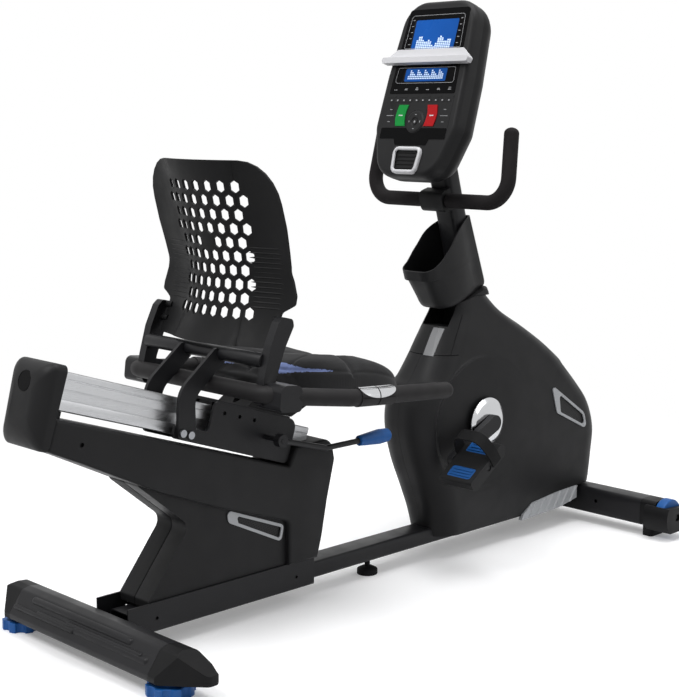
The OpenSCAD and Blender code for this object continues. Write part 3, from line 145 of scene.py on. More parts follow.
def rounded(corners: Sequence[Corner], steps: int = 6) -> list[Point2]:
    """Outline with rounded corners.

    Args:
        corners: Corners as x, y and radius, in order.
        steps: Number of chords in each rounded corner.

    Returns:
        The outline's points in the same order.
    """
    points: list[Point2] = []
    for index, (x, y, radius) in enumerate(corners):
        here = Vector((x, y))
        back = (Vector(corners[index - 1][:2]) - here).normalized()
        ahead = (Vector(corners[(index + 1) % len(corners)][:2]) - here).normalized()
        if radius <= 0.0:
            points.append((x, y))
            continue
        half = back.angle(ahead) / 2.0
        centre = here + (back + ahead).normalized() * radius / math.sin(half)
        start = here + back * radius / math.tan(half) - centre
        end = here + ahead * radius / math.tan(half) - centre
        sweep = start.angle_signed(end)
        for step in range(steps + 1):
            arm = Vector((start.x, start.y))
            arm.rotate(Matrix.Rotation(-sweep * step / steps, 2))
            points.append((centre.x + arm.x, centre.y + arm.y))
    return points


def drawn_in(corners: Sequence[Corner], inset: float) -> list[Corner]:
    """Corners of an anticlockwise outline, moved inward with its sides.

    Args:
        corners: Corners as x, y and radius.
        inset: Millimetres that every side moves by.

    Returns:
        The moved corners, with radii that follow.
    """
    moved: list[Corner] = []
    for index, (x, y, radius) in enumerate(corners):
        here = Vector((x, y))
        into = (here - Vector(corners[index - 1][:2])).normalized()
        out = (Vector(corners[(index + 1) % len(corners)][:2]) - here).normalized()
        first, second = Vector((-into.y, into.x)), Vector((-out.y, out.x))
        place = here + (first + second) * inset / (1.0 + first.dot(second))
        turns_left = into.x * out.y > into.y * out.x
        fit = max(0.1, radius - inset if turns_left else radius + inset)
        moved.append((place.x, place.y, fit if radius > 0.0 else 0.0))
    return moved


def oblong(width: float, height: float, radius: float, x: float = 0.0, y: float = 0.0) -> list[Corner]:
    """Corners of a rectangle about x, y with one corner radius."""
    w, h = width / 2.0, height / 2.0
    return [(x - w, y - h, radius), (x + w, y - h, radius), (x + w, y + h, radius), (x - w, y + h, radius)]


def blend_rows(rows: Sequence[Sequence[float]], steps: int) -> list[list[float]]:
    """Rows of numbers with smooth rows put between them.

    Args:
        rows: The rows that are met exactly.
        steps: Number of steps from each row to the next.

    Returns:
        The longer list of rows.
    """
    smooth: list[list[float]] = []
    for index in range(len(rows) - 1):
        a, b = rows[max(0, index - 1)], rows[index]
        c, d = rows[index + 1], rows[min(len(rows) - 1, index + 2)]
        for step in range(steps):
            t = step / steps
            smooth.append([
                0.5 * (2 * q + (r - p) * t + (2 * p - 5 * q + 4 * r - s) * t**2
                       + (3 * q - p - 3 * r + s) * t**3)
                for p, q, r, s in zip(a, b, c, d)
            ])
    smooth.append(list(rows[-1]))
    return smooth


class Surface(Enum):
    """Kinds of surface that share one set of texture nodes."""

    MOULDED = "moulded"
    POWDER = "powder"
    BRUSHED = "brushed"
    POLISHED = "polished"
    FOAM = "foam"
    WOVEN = "woven"
    GLOSS = "gloss"
    LIT = "lit"
    PERFORATED = "perforated"


def linear(colour: str) -> tuple[float, float, float, float]:
    """Linear colour of a hexadecimal screen colour."""
    parts = [int(colour[i:i + 2], 16) / 255.0 for i in (1, 3, 5)]
    red, green, blue = (p / 12.92 if p <= 0.04045 else ((p + 0.055) / 1.055) ** 2.4 for p in parts)
    return red, green, blue, 1.0


class Graph:
    """Node tree of one material."""

    def __init__(self, name: str) -> None:
        """Start an empty tree with its output and shader."""
        self.material = bpy.data.materials.new(name)
        self.material.use_nodes = True
        self.tree = self.material.node_tree
        self.tree.nodes.clear()
        self.shader = self.node("ShaderNodeBsdfPrincipled")
        self.output = self.node("ShaderNodeOutputMaterial")
        self.wire(self.shader.outputs["BSDF"], self.output.inputs["Surface"])
        self.place = self.node("ShaderNodeTexCoord").outputs["Object"]

    def node(self, kind: str, inputs: dict[Any, Any] | None = None, **settings: Any) -> bpy.types.Node:
        """Add a node.

        Args:
            kind: Blender's name of the node.
            inputs: Values or sockets for its inputs, by name or number.
            **settings: Properties of the node.

        Returns:
            The new node.
        """
        made = self.tree.nodes.new(kind)
        for key, value in settings.items():
            setattr(made, key, value)
        for key, value in (inputs or {}).items():
            if isinstance(value, bpy.types.NodeSocket):
                self.wire(value, made.inputs[key])
            else:
                made.inputs[key].default_value = value
        return made

    def wire(self, source: bpy.types.NodeSocket, target: bpy.types.NodeSocket) -> None:
        """Link two sockets."""
        self.tree.links.new(source, target)

    def noise(self, scale: float, detail: float = 2.0, place: Any = None) -> bpy.types.NodeSocket:
        """Grey noise with features of about one over scale metres."""
        inputs = {"Vector": place or self.place, "Scale": scale, "Detail": detail}
        return self.node("ShaderNodeTexNoise", inputs).outputs[0]

    def spread(self, value: Any, low: float, high: float) -> bpy.types.NodeSocket:
        """Map noise between about 0.3 and 0.7 to a range."""
        inputs = {"Value": value, "From Min": 0.3, "From Max": 0.7, "To Min": low, "To Max": high}
        return self.node("ShaderNodeMapRange", inputs).outputs[0]

    def mix(self, factor: Any, first: Any, second: Any) -> bpy.types.NodeSocket:
        """Colour between two colours."""
        return self.node("ShaderNodeMix", {0: factor, 6: first, 7: second}, data_type="RGBA").outputs[2]

    def maths(self, operation: str, first: Any, second: Any = 0.0) -> bpy.types.NodeSocket:
        """One sum of two values or sockets."""
        return self.node("ShaderNodeMath", {0: first, 1: second}, operation=operation).outputs[0]

    def bump(self, height: Any, depth: float, strength: float) -> None:
        """Give the shader a bump of that depth in millimetres."""
        inputs = {"Height": height, "Distance": depth * MM, "Strength": strength}
        self.wire(self.node("ShaderNodeBump", inputs).outputs[0], self.shader.inputs["Normal"])


@dataclass(frozen=True)
class Finish:
    """One finish of the bike.

    Attributes:
        name: Name of the material.
        surface: Kind of surface.
        colour: Screen colour under plain light.
        roughness: Middle roughness.
        specular: Specular level of the shader.
        grain: Size of the fine texture in millimetres.
        depth: Depth of the fine texture in millimetres.
        mottle: Share by which the colour wanders.
        turn: Degrees about the width by which a brushed grain is turned.
    """

    name: str
    surface: Surface
    colour: str
    roughness: float
    specular: float = 0.25
    grain: float = 0.8
    depth: float = 0.05
    mottle: float = 0.12
    turn: float = 0.0

    def material(self) -> bpy.types.Material:
        """The finish's material, made once."""
        known = bpy.data.materials.get(self.name)
        return known or self._build().material

    def _build(self) -> Graph:
        """Make the material's nodes."""
        graph = Graph(self.name)
        shader = graph.shader.inputs
        shader["Specular IOR Level"].default_value = self.specular
        base = linear(self.colour)
        wander = graph.spread(graph.noise(7.0, 3.0), 0.0, 1.0)
        dark = tuple(c * (1.0 - self.mottle) for c in base[:3]) + (1.0,)
        pale = tuple(min(1.0, c * (1.0 + self.mottle)) for c in base[:3]) + (1.0,)
        graph.wire(graph.mix(wander, dark, pale), shader["Base Color"])
        if self.surface is Surface.LIT:
            shader["Emission Color"].default_value = base
            shader["Emission Strength"].default_value = 0.3
        metal = self.surface in (Surface.BRUSHED, Surface.POLISHED)
        shader["Metallic"].default_value = 1.0 if metal else 0.0
        if self.surface in (Surface.GLOSS, Surface.LIT):
            shader["Coat Weight"].default_value = 0.05
            shader["Coat Roughness"].default_value = 0.08
        self._texture(graph)
        return graph

    def _texture(self, graph: Graph) -> None:
        """Add roughness and bump for the kind of surface."""
        shader = graph.shader.inputs
        scale = 1.0 / (self.grain * MM)
        place = None
        if self.surface is Surface.BRUSHED:
            turn = (0.0, math.radians(self.turn), 0.0)
            place = graph.node("ShaderNodeMapping", {
                "Vector": graph.place, "Rotation": turn, "Scale": (0.02, 1.0, 1.0)}).outputs[0]
        smudge = graph.noise(scale if place else 22.0, 4.0, place)
        wide = 0.12 if place else 0.07
        graph.wire(graph.spread(smudge, self.roughness - wide, self.roughness + wide), shader["Roughness"])
        if self.surface is Surface.FOAM:
            cells = graph.node("ShaderNodeTexVoronoi", {"Vector": graph.place, "Scale": scale})
            graph.bump(cells.outputs["Distance"], self.depth, 0.6)
        elif self.surface is Surface.WOVEN:
            waves = [
                graph.node("ShaderNodeTexWave", {"Vector": graph.place, "Scale": scale / 20.0},
                           bands_direction=axis).outputs[1]
                for axis in ("X", "Y")
            ]
            graph.bump(graph.maths("MULTIPLY", *waves), self.depth, 0.7)
            shader["Sheen Weight"].default_value = 0.08
        elif self.surface is Surface.PERFORATED:
            flat = graph.node("ShaderNodeMapping", {
                "Vector": graph.place, "Rotation": (0.0, math.radians(self.turn), 0.0),
                "Scale": (scale, 0.0, scale)}).outputs[0]
            # The holes are painted black, as painted shade for the dark space seen through them; the bump sinks
            # them.
            cells = graph.node("ShaderNodeTexVoronoi", {"Vector": flat, "Scale": 1.0, "Randomness": 0.0})
            solid = graph.maths("GREATER_THAN", cells.outputs["Distance"], 0.34)
            graph.wire(graph.mix(solid, (0.0, 0.0, 0.0, 1.0), linear(self.colour)), shader["Base Color"])
            graph.bump(solid, self.depth, 0.8)
        else:
            graph.bump(graph.noise(scale, 2.0, place), self.depth, 0.5)


class Mould:
    """A piece in the making, shaped by mesh operators in the frame's metres."""

    def __init__(self, name: str) -> None:
        """Start with no mesh."""
        self.name = name
        self.bm = bmesh.new()

    @classmethod
    def of_node(cls, node: str) -> "Mould":
        """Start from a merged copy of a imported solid.

        Args:
            node: Name of the solid.

        Returns:
            The mould, named after the solid.
        """
        made = cls(f"{node}_shell")
        made.bm.from_mesh(frame["nodes"][node].data)
        bmesh.ops.remove_doubles(made.bm, verts=made.bm.verts, dist=MERGE)
        flat = math.radians(FLAT_DEGREES)
        bmesh.ops.dissolve_limit(made.bm, angle_limit=flat, verts=made.bm.verts, edges=made.bm.edges)
        return made

    def loft(self, rings: Sequence[Ring], capped: bool = True) -> "Mould":
        """Add a skin through rings of equally many points.

        Args:
            rings: The rings, in order.
            capped: Whether the first and the last ring are closed.

        Returns:
            The mould itself.
        """
        count = len(rings[0])
        ring = [self.bm.verts.new(point) for point in rings[0]]
        edges = [self.bm.edges.new((ring[i], ring[(i + 1) % count])) for i in range(count)]
        if capped:
            self.bm.faces.new(ring)
        for points in rings[1:]:
            made = bmesh.ops.extrude_edge_only(self.bm, edges=edges)["geom"]
            fresh = {item for item in made if isinstance(item, bmesh.types.BMVert)}
            ring = [
                next(edge.other_vert(vert) for edge in vert.link_edges if edge.other_vert(vert) in fresh)
                for vert in ring
            ]
            for vert, point in zip(ring, points):
                vert.co = point
            edges = [self.bm.edges.get((ring[i], ring[(i + 1) % count])) for i in range(count)]
        if capped:
            self.bm.faces.new(ring)
        return self

    def prism(self, outline: Ring, along: Vector) -> "Mould":
        """Add an outline pushed along a direction."""
        return self.loft([outline, [point + along for point in outline]])

    def bevel(self, width: float, angle: float = 32.0, segments: int = 2) -> "Mould":
        """Round every edge that is sharper than an angle.

        Args:
            width: Width of the rounding in millimetres.
            angle: Least angle between the faces, in degrees.
            segments: Number of facets in the rounding.

        Returns:
            The mould itself.
        """
        least = math.radians(angle)
        edges = [e for e in self.bm.edges if len(e.link_faces) == 2 and e.calc_face_angle() > least]
        bmesh.ops.bevel(
            self.bm, geom=edges, offset=width * MM, offset_type="OFFSET", segments=segments, profile=0.5,
            affect="EDGES", clamp_overlap=True, material=-1,
        )
        return self

    def mirrored(self) -> "Mould":
        """Add the mirror image across the bike's middle."""
        geom = self.bm.verts[:] + self.bm.edges[:] + self.bm.faces[:]
        twin = bmesh.ops.duplicate(self.bm, geom=geom)["geom"]
        verts = [item for item in twin if isinstance(item, bmesh.types.BMVert)]
        bmesh.ops.scale(self.bm, vec=Vector((1.0, -1.0, 1.0)), verts=verts)
        return self

    def bare(self) -> bpy.types.Object:
        """The mesh as an object with no finish, such as a cutter."""
        bmesh.ops.recalc_face_normals(self.bm, faces=self.bm.faces)
        mesh = bpy.data.meshes.new(self.name)
        self.bm.to_mesh(mesh)
        self.bm.free()
        made = bpy.data.objects.new(self.name, mesh)
        bpy.context.scene.collection.objects.link(made)
        return made

    def cast(self, finishes: Sequence[Finish], node: str, stands_for: Sequence[str] = (),
             smooth: float = 35.0) -> bpy.types.Object:
        """Make the finished piece.

        Args:
            finishes: Finishes in the order of the faces' material numbers.
            node: Solid whose body the piece rides on.
            stands_for: Solids that the piece replaces.
            smooth: Greatest angle that is shaded smooth, in degrees.

        Returns:
            The piece.
        """
        return settle(self.bare(), finishes, node, stands_for, smooth)


def settle(piece: bpy.types.Object, finishes: Sequence[Finish], node: str, stands_for: Sequence[str] = (),
           smooth: float = 35.0) -> bpy.types.Object:
    """Dress a piece and fix it to the body that carries it.

    Args:
        piece: The piece, in place.
        finishes: Its finishes.
        node: Solid whose body it shares.
        stands_for: Solids that it replaces.
        smooth: Greatest angle that is shaded smooth, in degrees.

    Returns:
        The piece.
    """
    for finish in finishes:
        piece.data.materials.append(finish.material())
    piece.data.shade_smooth()
    piece.data.set_sharp_from_angle(angle=math.radians(smooth))
    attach(piece, BODY_OF[node])
    if stands_for:
        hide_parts(*stands_for)
    LOG.info("%s rides on %s", piece.name, BODY_OF[node])
    return piece


def baked(piece: bpy.types.Object) -> bpy.types.Object:
    """The piece with its modifiers made part of its mesh."""
    graph = bpy.context.evaluated_depsgraph_get()
    mesh = bpy.data.meshes.new_from_object(piece.evaluated_get(graph))
    piece.modifiers.clear()
    old = piece.data
    piece.data = mesh
    bpy.data.meshes.remove(old)
    return piece


def carve(piece: bpy.types.Object, cutters: Iterable[bpy.types.Object]) -> None:
    """Cut closed shapes out of a piece and remove them.

    Args:
        piece: The piece to cut.
        cutters: The shapes that are taken away.
    """
    for cutter in cutters:
        cut = piece.modifiers.new("cut", "BOOLEAN")
        cut.operation = "DIFFERENCE"
        cut.solver = "EXACT"
        cut.object = cutter
        baked(piece)
        bpy.data.objects.remove(cutter)


@dataclass(frozen=True)
class Filling:
    """Air that swells a padded piece.

    Attributes:
        voxel: Size of the even mesh's faces in millimetres.
        held: Height over the underside up to which the cloth stays put.
        pressure: Force of the air on the cloth.
        stiffness: Resistance of the cloth to bending.
        frames: Number of frames that the cloth moves for.
        most: Greatest move of a point in millimetres.
    """

    voxel: float = 5.0
    held: float = 10.0
    pressure: float = 4.0
    stiffness: float = 15.0
    frames: int = 20
    most: float = 8.0

    def swell(self, piece: bpy.types.Object, base: Tilted) -> bpy.types.Object:
        """Let a closed piece swell as cloth that is held at its underside.

        Args:
            piece: The closed piece, a little smaller than wanted.
            base: Plane of its underside.

        Returns:
            The piece with a finer, swollen mesh.
        """
        even = piece.modifiers.new("even", "REMESH")
        even.mode = "VOXEL"
        even.voxel_size = self.voxel * MM
        baked(piece)
        self._simulate(piece, base)
        piece.modifiers.new("finer", "SUBSURF").levels = 1
        return baked(piece)

    def _simulate(self, piece: bpy.types.Object, base: Tilted) -> None:
        """Run the cloth and keep each point's move within the greatest one."""
        rest = [vert.co.copy() for vert in piece.data.vertices]
        held = piece.vertex_groups.new(name="held")
        held.add([i for i, place in enumerate(rest) if base.local(place).z < self.held], 1.0, "REPLACE")
        cloth = piece.modifiers.new("air", "CLOTH").settings
        cloth.use_pressure = True
        cloth.uniform_pressure_force = self.pressure
        cloth.bending_stiffness = self.stiffness
        cloth.vertex_group_mass = held.name
        cloth.effector_weights.gravity = 0.0
        for number in range(1, self.frames + 1):
            bpy.context.scene.frame_set(number)
        baked(piece)
        for vert, place in zip(piece.data.vertices, rest):
            move = vert.co - place
            vert.co = place + move * min(1.0, self.most * MM / max(move.length, 1e-9))
        bpy.context.scene.frame_set(1)


def soften(piece: bpy.types.Object, width: float, angle: float = 34.0, segments: int = 2) -> bpy.types.Object:
    """Round a cut piece's sharp edges with a live bevel.

    Args:
        piece: The piece.
        width: Width of the rounding in millimetres.
        angle: Least angle between the faces, in degrees.
        segments: Number of facets in the rounding.

    Returns:
        The piece.
    """
    bevel = piece.modifiers.new("rounded_edges", "BEVEL")
    bevel.width = width * MM
    bevel.segments = segments
    bevel.limit_method = "ANGLE"
    bevel.angle_limit = math.radians(angle)
    bevel.harden_normals = False
    bevel.use_clamp_overlap = True
    return piece


@dataclass(frozen=True)
class Run:
    """A bent bar's centre line.

    Attributes:
        points: Corners of the line, in the frame's metres.
        bend: Radius of every bend in millimetres.
        up: Direction that the rings keep to.
        steps: Number of chords in a bend.
    """

    points: tuple[Vector, ...]
    bend: float
    up: Vector = Vector((0.0, 0.0, 1.0))
    steps: int = 8

    def stations(self) -> list[tuple[Vector, Vector]]:
        """Points of the line with the direction at each."""
        made: list[tuple[Vector, Vector]] = []
        last = len(self.points) - 1
        for index, point in enumerate(self.points):
            into = (point - self.points[index - 1]).normalized() if index else None
            out = (self.points[index + 1] - point).normalized() if index < last else None
            if into is None or out is None:
                made.append((point, out or into))
                continue
            turn = into.angle(out)
            radius = self.bend * MM
            start = point - into * radius * math.tan(turn / 2.0)
            side = (out - into * into.dot(out)).normalized()
            for step in range(self.steps + 1):
                a = turn * step / self.steps
                place = start + side * radius * (1.0 - math.cos(a)) + into * radius * math.sin(a)
                made.append((place, into * math.cos(a) + side * math.sin(a)))
        return made

    def ring(self, place: Vector, along: Vector, radius: float, sides: int) -> Ring:
        """Ring of points around a place of the line."""
        x = self.up.cross(along).normalized()
        y = along.cross(x)
        turn = 2.0 * math.pi / sides
        return [
            place + (x * math.cos(i * turn) + y * math.sin(i * turn)) * radius * MM for i in range(sides)
        ]

    def rings(self, radius: float, sides: int = 28, domes: tuple[float, float] = (0.0, 0.0)) -> list[Ring]:
        """Rings of a bar along the line.

        Args:
            radius: Radius of the bar in millimetres.
            sides: Number of points in a ring.
            domes: How far the rounded ends reach past the line, in millimetres.

        Returns:
            The rings from end to end.
        """
        stations = self.stations()
        made = [self.ring(place, along, radius, sides) for place, along in stations]
        angles = [math.radians(a) for a in (15, 30, 45, 60, 75, 86)]
        (first, ahead), (last, behind) = stations[0], stations[-1]
        if domes[0]:
            head = [
                self.ring(first - ahead * domes[0] * MM * math.sin(a), ahead, radius * math.cos(a), sides)
                for a in angles
            ]
            made = head[::-1] + made
        if domes[1]:
            made += [
                self.ring(last + behind * domes[1] * MM * math.sin(a), behind, radius * math.cos(a), sides)
                for a in angles
            ]
        return made


SHELL = Finish("charcoal_moulding", Surface.MOULDED, "#1c1c1d", 0.48, 0.14)
SHELL_DARK = Finish("black_moulding", Surface.MOULDED, "#121213", 0.5, 0.12)
BACK = Finish("backrest_moulding", Surface.MOULDED, "#111112", 0.5, 0.12, grain=1.2, depth=0.08)
PAINT = Finish("black_powder_coat", Surface.POWDER, "#19191b", 0.4, 0.18, grain=1.6, depth=0.06)
SILVER = Finish("silver_paint", Surface.MOULDED, "#9c9ea1", 0.34, 0.45, grain=0.5, depth=0.02, mottle=0.05)
# Darker, rougher copy of the silver paint, for the strip on the neck.
NECK_SILVER = Finish("dull_silver", Surface.MOULDED, "#737476", 0.4, 0.4, grain=0.5, depth=0.02, mottle=0.08)
WHITE = Finish("white_moulding", Surface.MOULDED, "#c6c6c9", 0.42, 0.3, depth=0.02, mottle=0.02)
# Dark perforated sheet whose holes are painted black as painted shade.
MESH = Finish("vent_mesh", Surface.PERFORATED, "#1b1b1d", 0.45, 0.2, grain=5.2, depth=0.8, turn=20.0)
ALUMINIUM = Finish(
    "brushed_aluminium", Surface.BRUSHED, "#b6b7b9", 0.36, grain=0.7, depth=0.03, mottle=0.04, turn=-18.0)
CHROME = Finish("polished_plate", Surface.POLISHED, "#c9cacc", 0.16, grain=2.0, depth=0.004, mottle=0.03)
STEEL = Finish("turned_steel", Surface.POLISHED, "#8d8f93", 0.32, grain=0.5, depth=0.02, mottle=0.06)
BLUE = Finish("blue_moulding", Surface.MOULDED, "#164f8e", 0.45, 0.25, depth=0.03, mottle=0.06)
RUBBER = Finish("black_rubber", Surface.MOULDED, "#0e0e0f", 0.75, 0.15, grain=1.0, depth=0.1)
FOAM = Finish("grip_foam", Surface.FOAM, "#1d1b1c", 0.78, 0.12, grain=1.4, depth=0.16)
GRIP = Finish("handle_grip", Surface.MOULDED, "#1b1a1b", 0.62, 0.18, grain=1.1, depth=0.12)
GLOSS = Finish("panel_gloss", Surface.GLOSS, "#030304", 0.2, 0.04, depth=0.0, mottle=0.02)
SCREEN = Finish("blue_screen", Surface.LIT, "#10478f", 0.3, 0.05, depth=0.0, mottle=0.2)
PIXEL = Finish("pale_segments", Surface.LIT, "#c8dcf4", 0.3, 0.3, depth=0.0, mottle=0.02)
PRINT = Finish("grey_print", Surface.MOULDED, "#9a9b9d", 0.5, 0.2, depth=0.0, mottle=0.02)
GREEN = Finish("start_green", Surface.MOULDED, "#16863a", 0.42, 0.1, depth=0.02, mottle=0.04)
RED = Finish("stop_red", Surface.MOULDED, "#a6161b", 0.42, 0.1, depth=0.02, mottle=0.04)
CLOTH = Finish("seat_cloth", Surface.WOVEN, "#2b2b2c", 0.82, 0.1, grain=1.1, depth=0.12)
INSERT = Finish("blue_insert", Surface.WOVEN, "#8090c2", 0.8, 0.1, grain=1.1, depth=0.12, mottle=0.06)
BOARD = Finish("board_lacquer", Surface.GLOSS, "#1c5a38", 0.3, 0.3, depth=0.02)


@dataclass
class Assembly:
    """A group of the bike's pieces.

    Attributes:
        pieces: The pieces made so far.
    """

    pieces: list[bpy.types.Object] = field(default_factory=list)

    def keep(self, piece: bpy.types.Object) -> None:
        """Note a finished piece."""
        self.pieces.append(piece)

    def coat(self, finish: Finish, *nodes: str) -> None:
        """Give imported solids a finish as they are."""
        for node in nodes:
            solid = frame["nodes"][node]
            solid.data.materials.clear()
            solid.data.materials.append(finish.material())
            LOG.info("%s keeps its solid", node)

    def round_off(self, finish: Finish, width: float, *nodes: str, segments: int = 2) -> None:
        """Put a copy with rounded edges in each solid's place.

        Args:
            finish: Finish of the copies.
            width: Width of the rounding in millimetres.
            *nodes: The solids.
            segments: Number of facets in the rounding.
        """
        for node in nodes:
            piece = Mould.of_node(node).cast([finish], node, [node])
            self.keep(soften(piece, width, segments=segments))

    def build(self) -> list[bpy.types.Object]:
        """Make the group's pieces."""
        raise NotImplementedError


@dataclass
class FloorFrame(Assembly):
    """Beam, stabilizers, feet and wheels.

    Attributes:
        edge: Rounding of the steel sections' edges.
        cap_edge: Rounding of the moulded caps.
        rib: Radius of the rear stabilizer's ribs.
        rib_sink: Height of the ribs' middles over the face.
    """

    edge: float = 1.2
    cap_edge: float = 2.5
    rib: float = 9.0
    rib_sink: float = -5.4

    def build(self) -> list[bpy.types.Object]:
        """Dress the floor frame."""
        self.round_off(PAINT, self.edge, "main_frame", "rear_stabilizer", "front_stabilizer")
        self.round_off(SHELL_DARK, self.cap_edge, "rear_end_caps", "front_end_caps")
        self._bosses()
        self.round_off(BLUE, 1.6, "rear_foot_right", "rear_foot_left", "transport_wheel_right",
                       "transport_wheel_left")
        self.round_off(RUBBER, 1.5, "centre_foot")
        return self.pieces

    def _bosses(self) -> None:
        """Two long ribs pressed into the rear stabilizer's slanted face."""
        mould = Mould("stabilizer_ribs")
        face = Tilted(-29.0, 61.0, -54.5)
        for along, first, last in ((16.0, -142.0, 170.0), (-5.0, -202.0, 138.0)):
            line = Run((face.at(along, first, self.rib_sink), face.at(along, last, self.rib_sink)), 10.0)
            mould.loft(line.rings(self.rib, 24, (self.rib, self.rib)))
        self.keep(mould.cast([PAINT], "rear_stabilizer", (), 50.0))


def rail_point(along: float, up: float, radius: float) -> Corner:
    """Outline corner at a place on the rail, as x, z and radius in millimetres."""
    place = RAIL.at(along, 0.0, up)
    return place.x / MM + ORIGIN_X, place.z / MM, radius


def side_ring(outline: Iterable[Point2], y: float) -> Ring:
    """Upright outline of x and z at a distance from the bike's middle."""
    return [at(x, y, z) for x, z in outline]


def post(name: str, place: Vector, along: Vector, radius: float, length: float) -> bpy.types.Object:
    """Bare round post, such as a cutter.

    Args:
        name: Name of the object.
        place: Middle of its first end.
        along: Direction of its axis.
        radius: Radius in millimetres.
        length: Length in millimetres.

    Returns:
        The object.
    """
    mould = Mould(name)
    turn = along.to_track_quat("Z", "Y").to_matrix().to_4x4()
    middle = place + along.normalized() * length * MM / 2.0
    bmesh.ops.create_cone(
        mould.bm, cap_ends=True, segments=ROUND_SIDES, radius1=radius * MM, radius2=radius * MM,
        depth=length * MM, matrix=Matrix.Translation(middle) @ turn,
    )
    return mould.bare()


@dataclass(frozen=True)
class Vent:
    """A vent's silver frame and the window in it.

    Attributes:
        rim: Half width of the moulding that carries it.
        outline: Corners of the frame as x, z and radius.
        window: Corners of the window.
    """

    rim: float
    outline: tuple[Corner, ...]
    window: tuple[Corner, ...]


VENTS = (
    Vent(46.0, ((286.0, 240.0, 8.0), (291.0, 213.0, 12.0), (430.0, 146.0, 8.0), (438.0, 180.0, 10.0)),
         ((312.0, 223.3, 4.0), (316.0, 207.6, 4.0), (425.8, 154.5, 4.0), (431.0, 176.3, 4.0))),
    Vent(78.0, ((1280.0, 366.0, 6.0), (1303.0, 294.0, 12.0), (1425.0, 236.0, 8.0), (1412.0, 280.0, 30.0)),
         ((1309.5, 339.6, 5.0), (1316.4, 294.2, 6.0), (1415.4, 247.2, 6.0), (1407.0, 276.0, 20.0))),
)


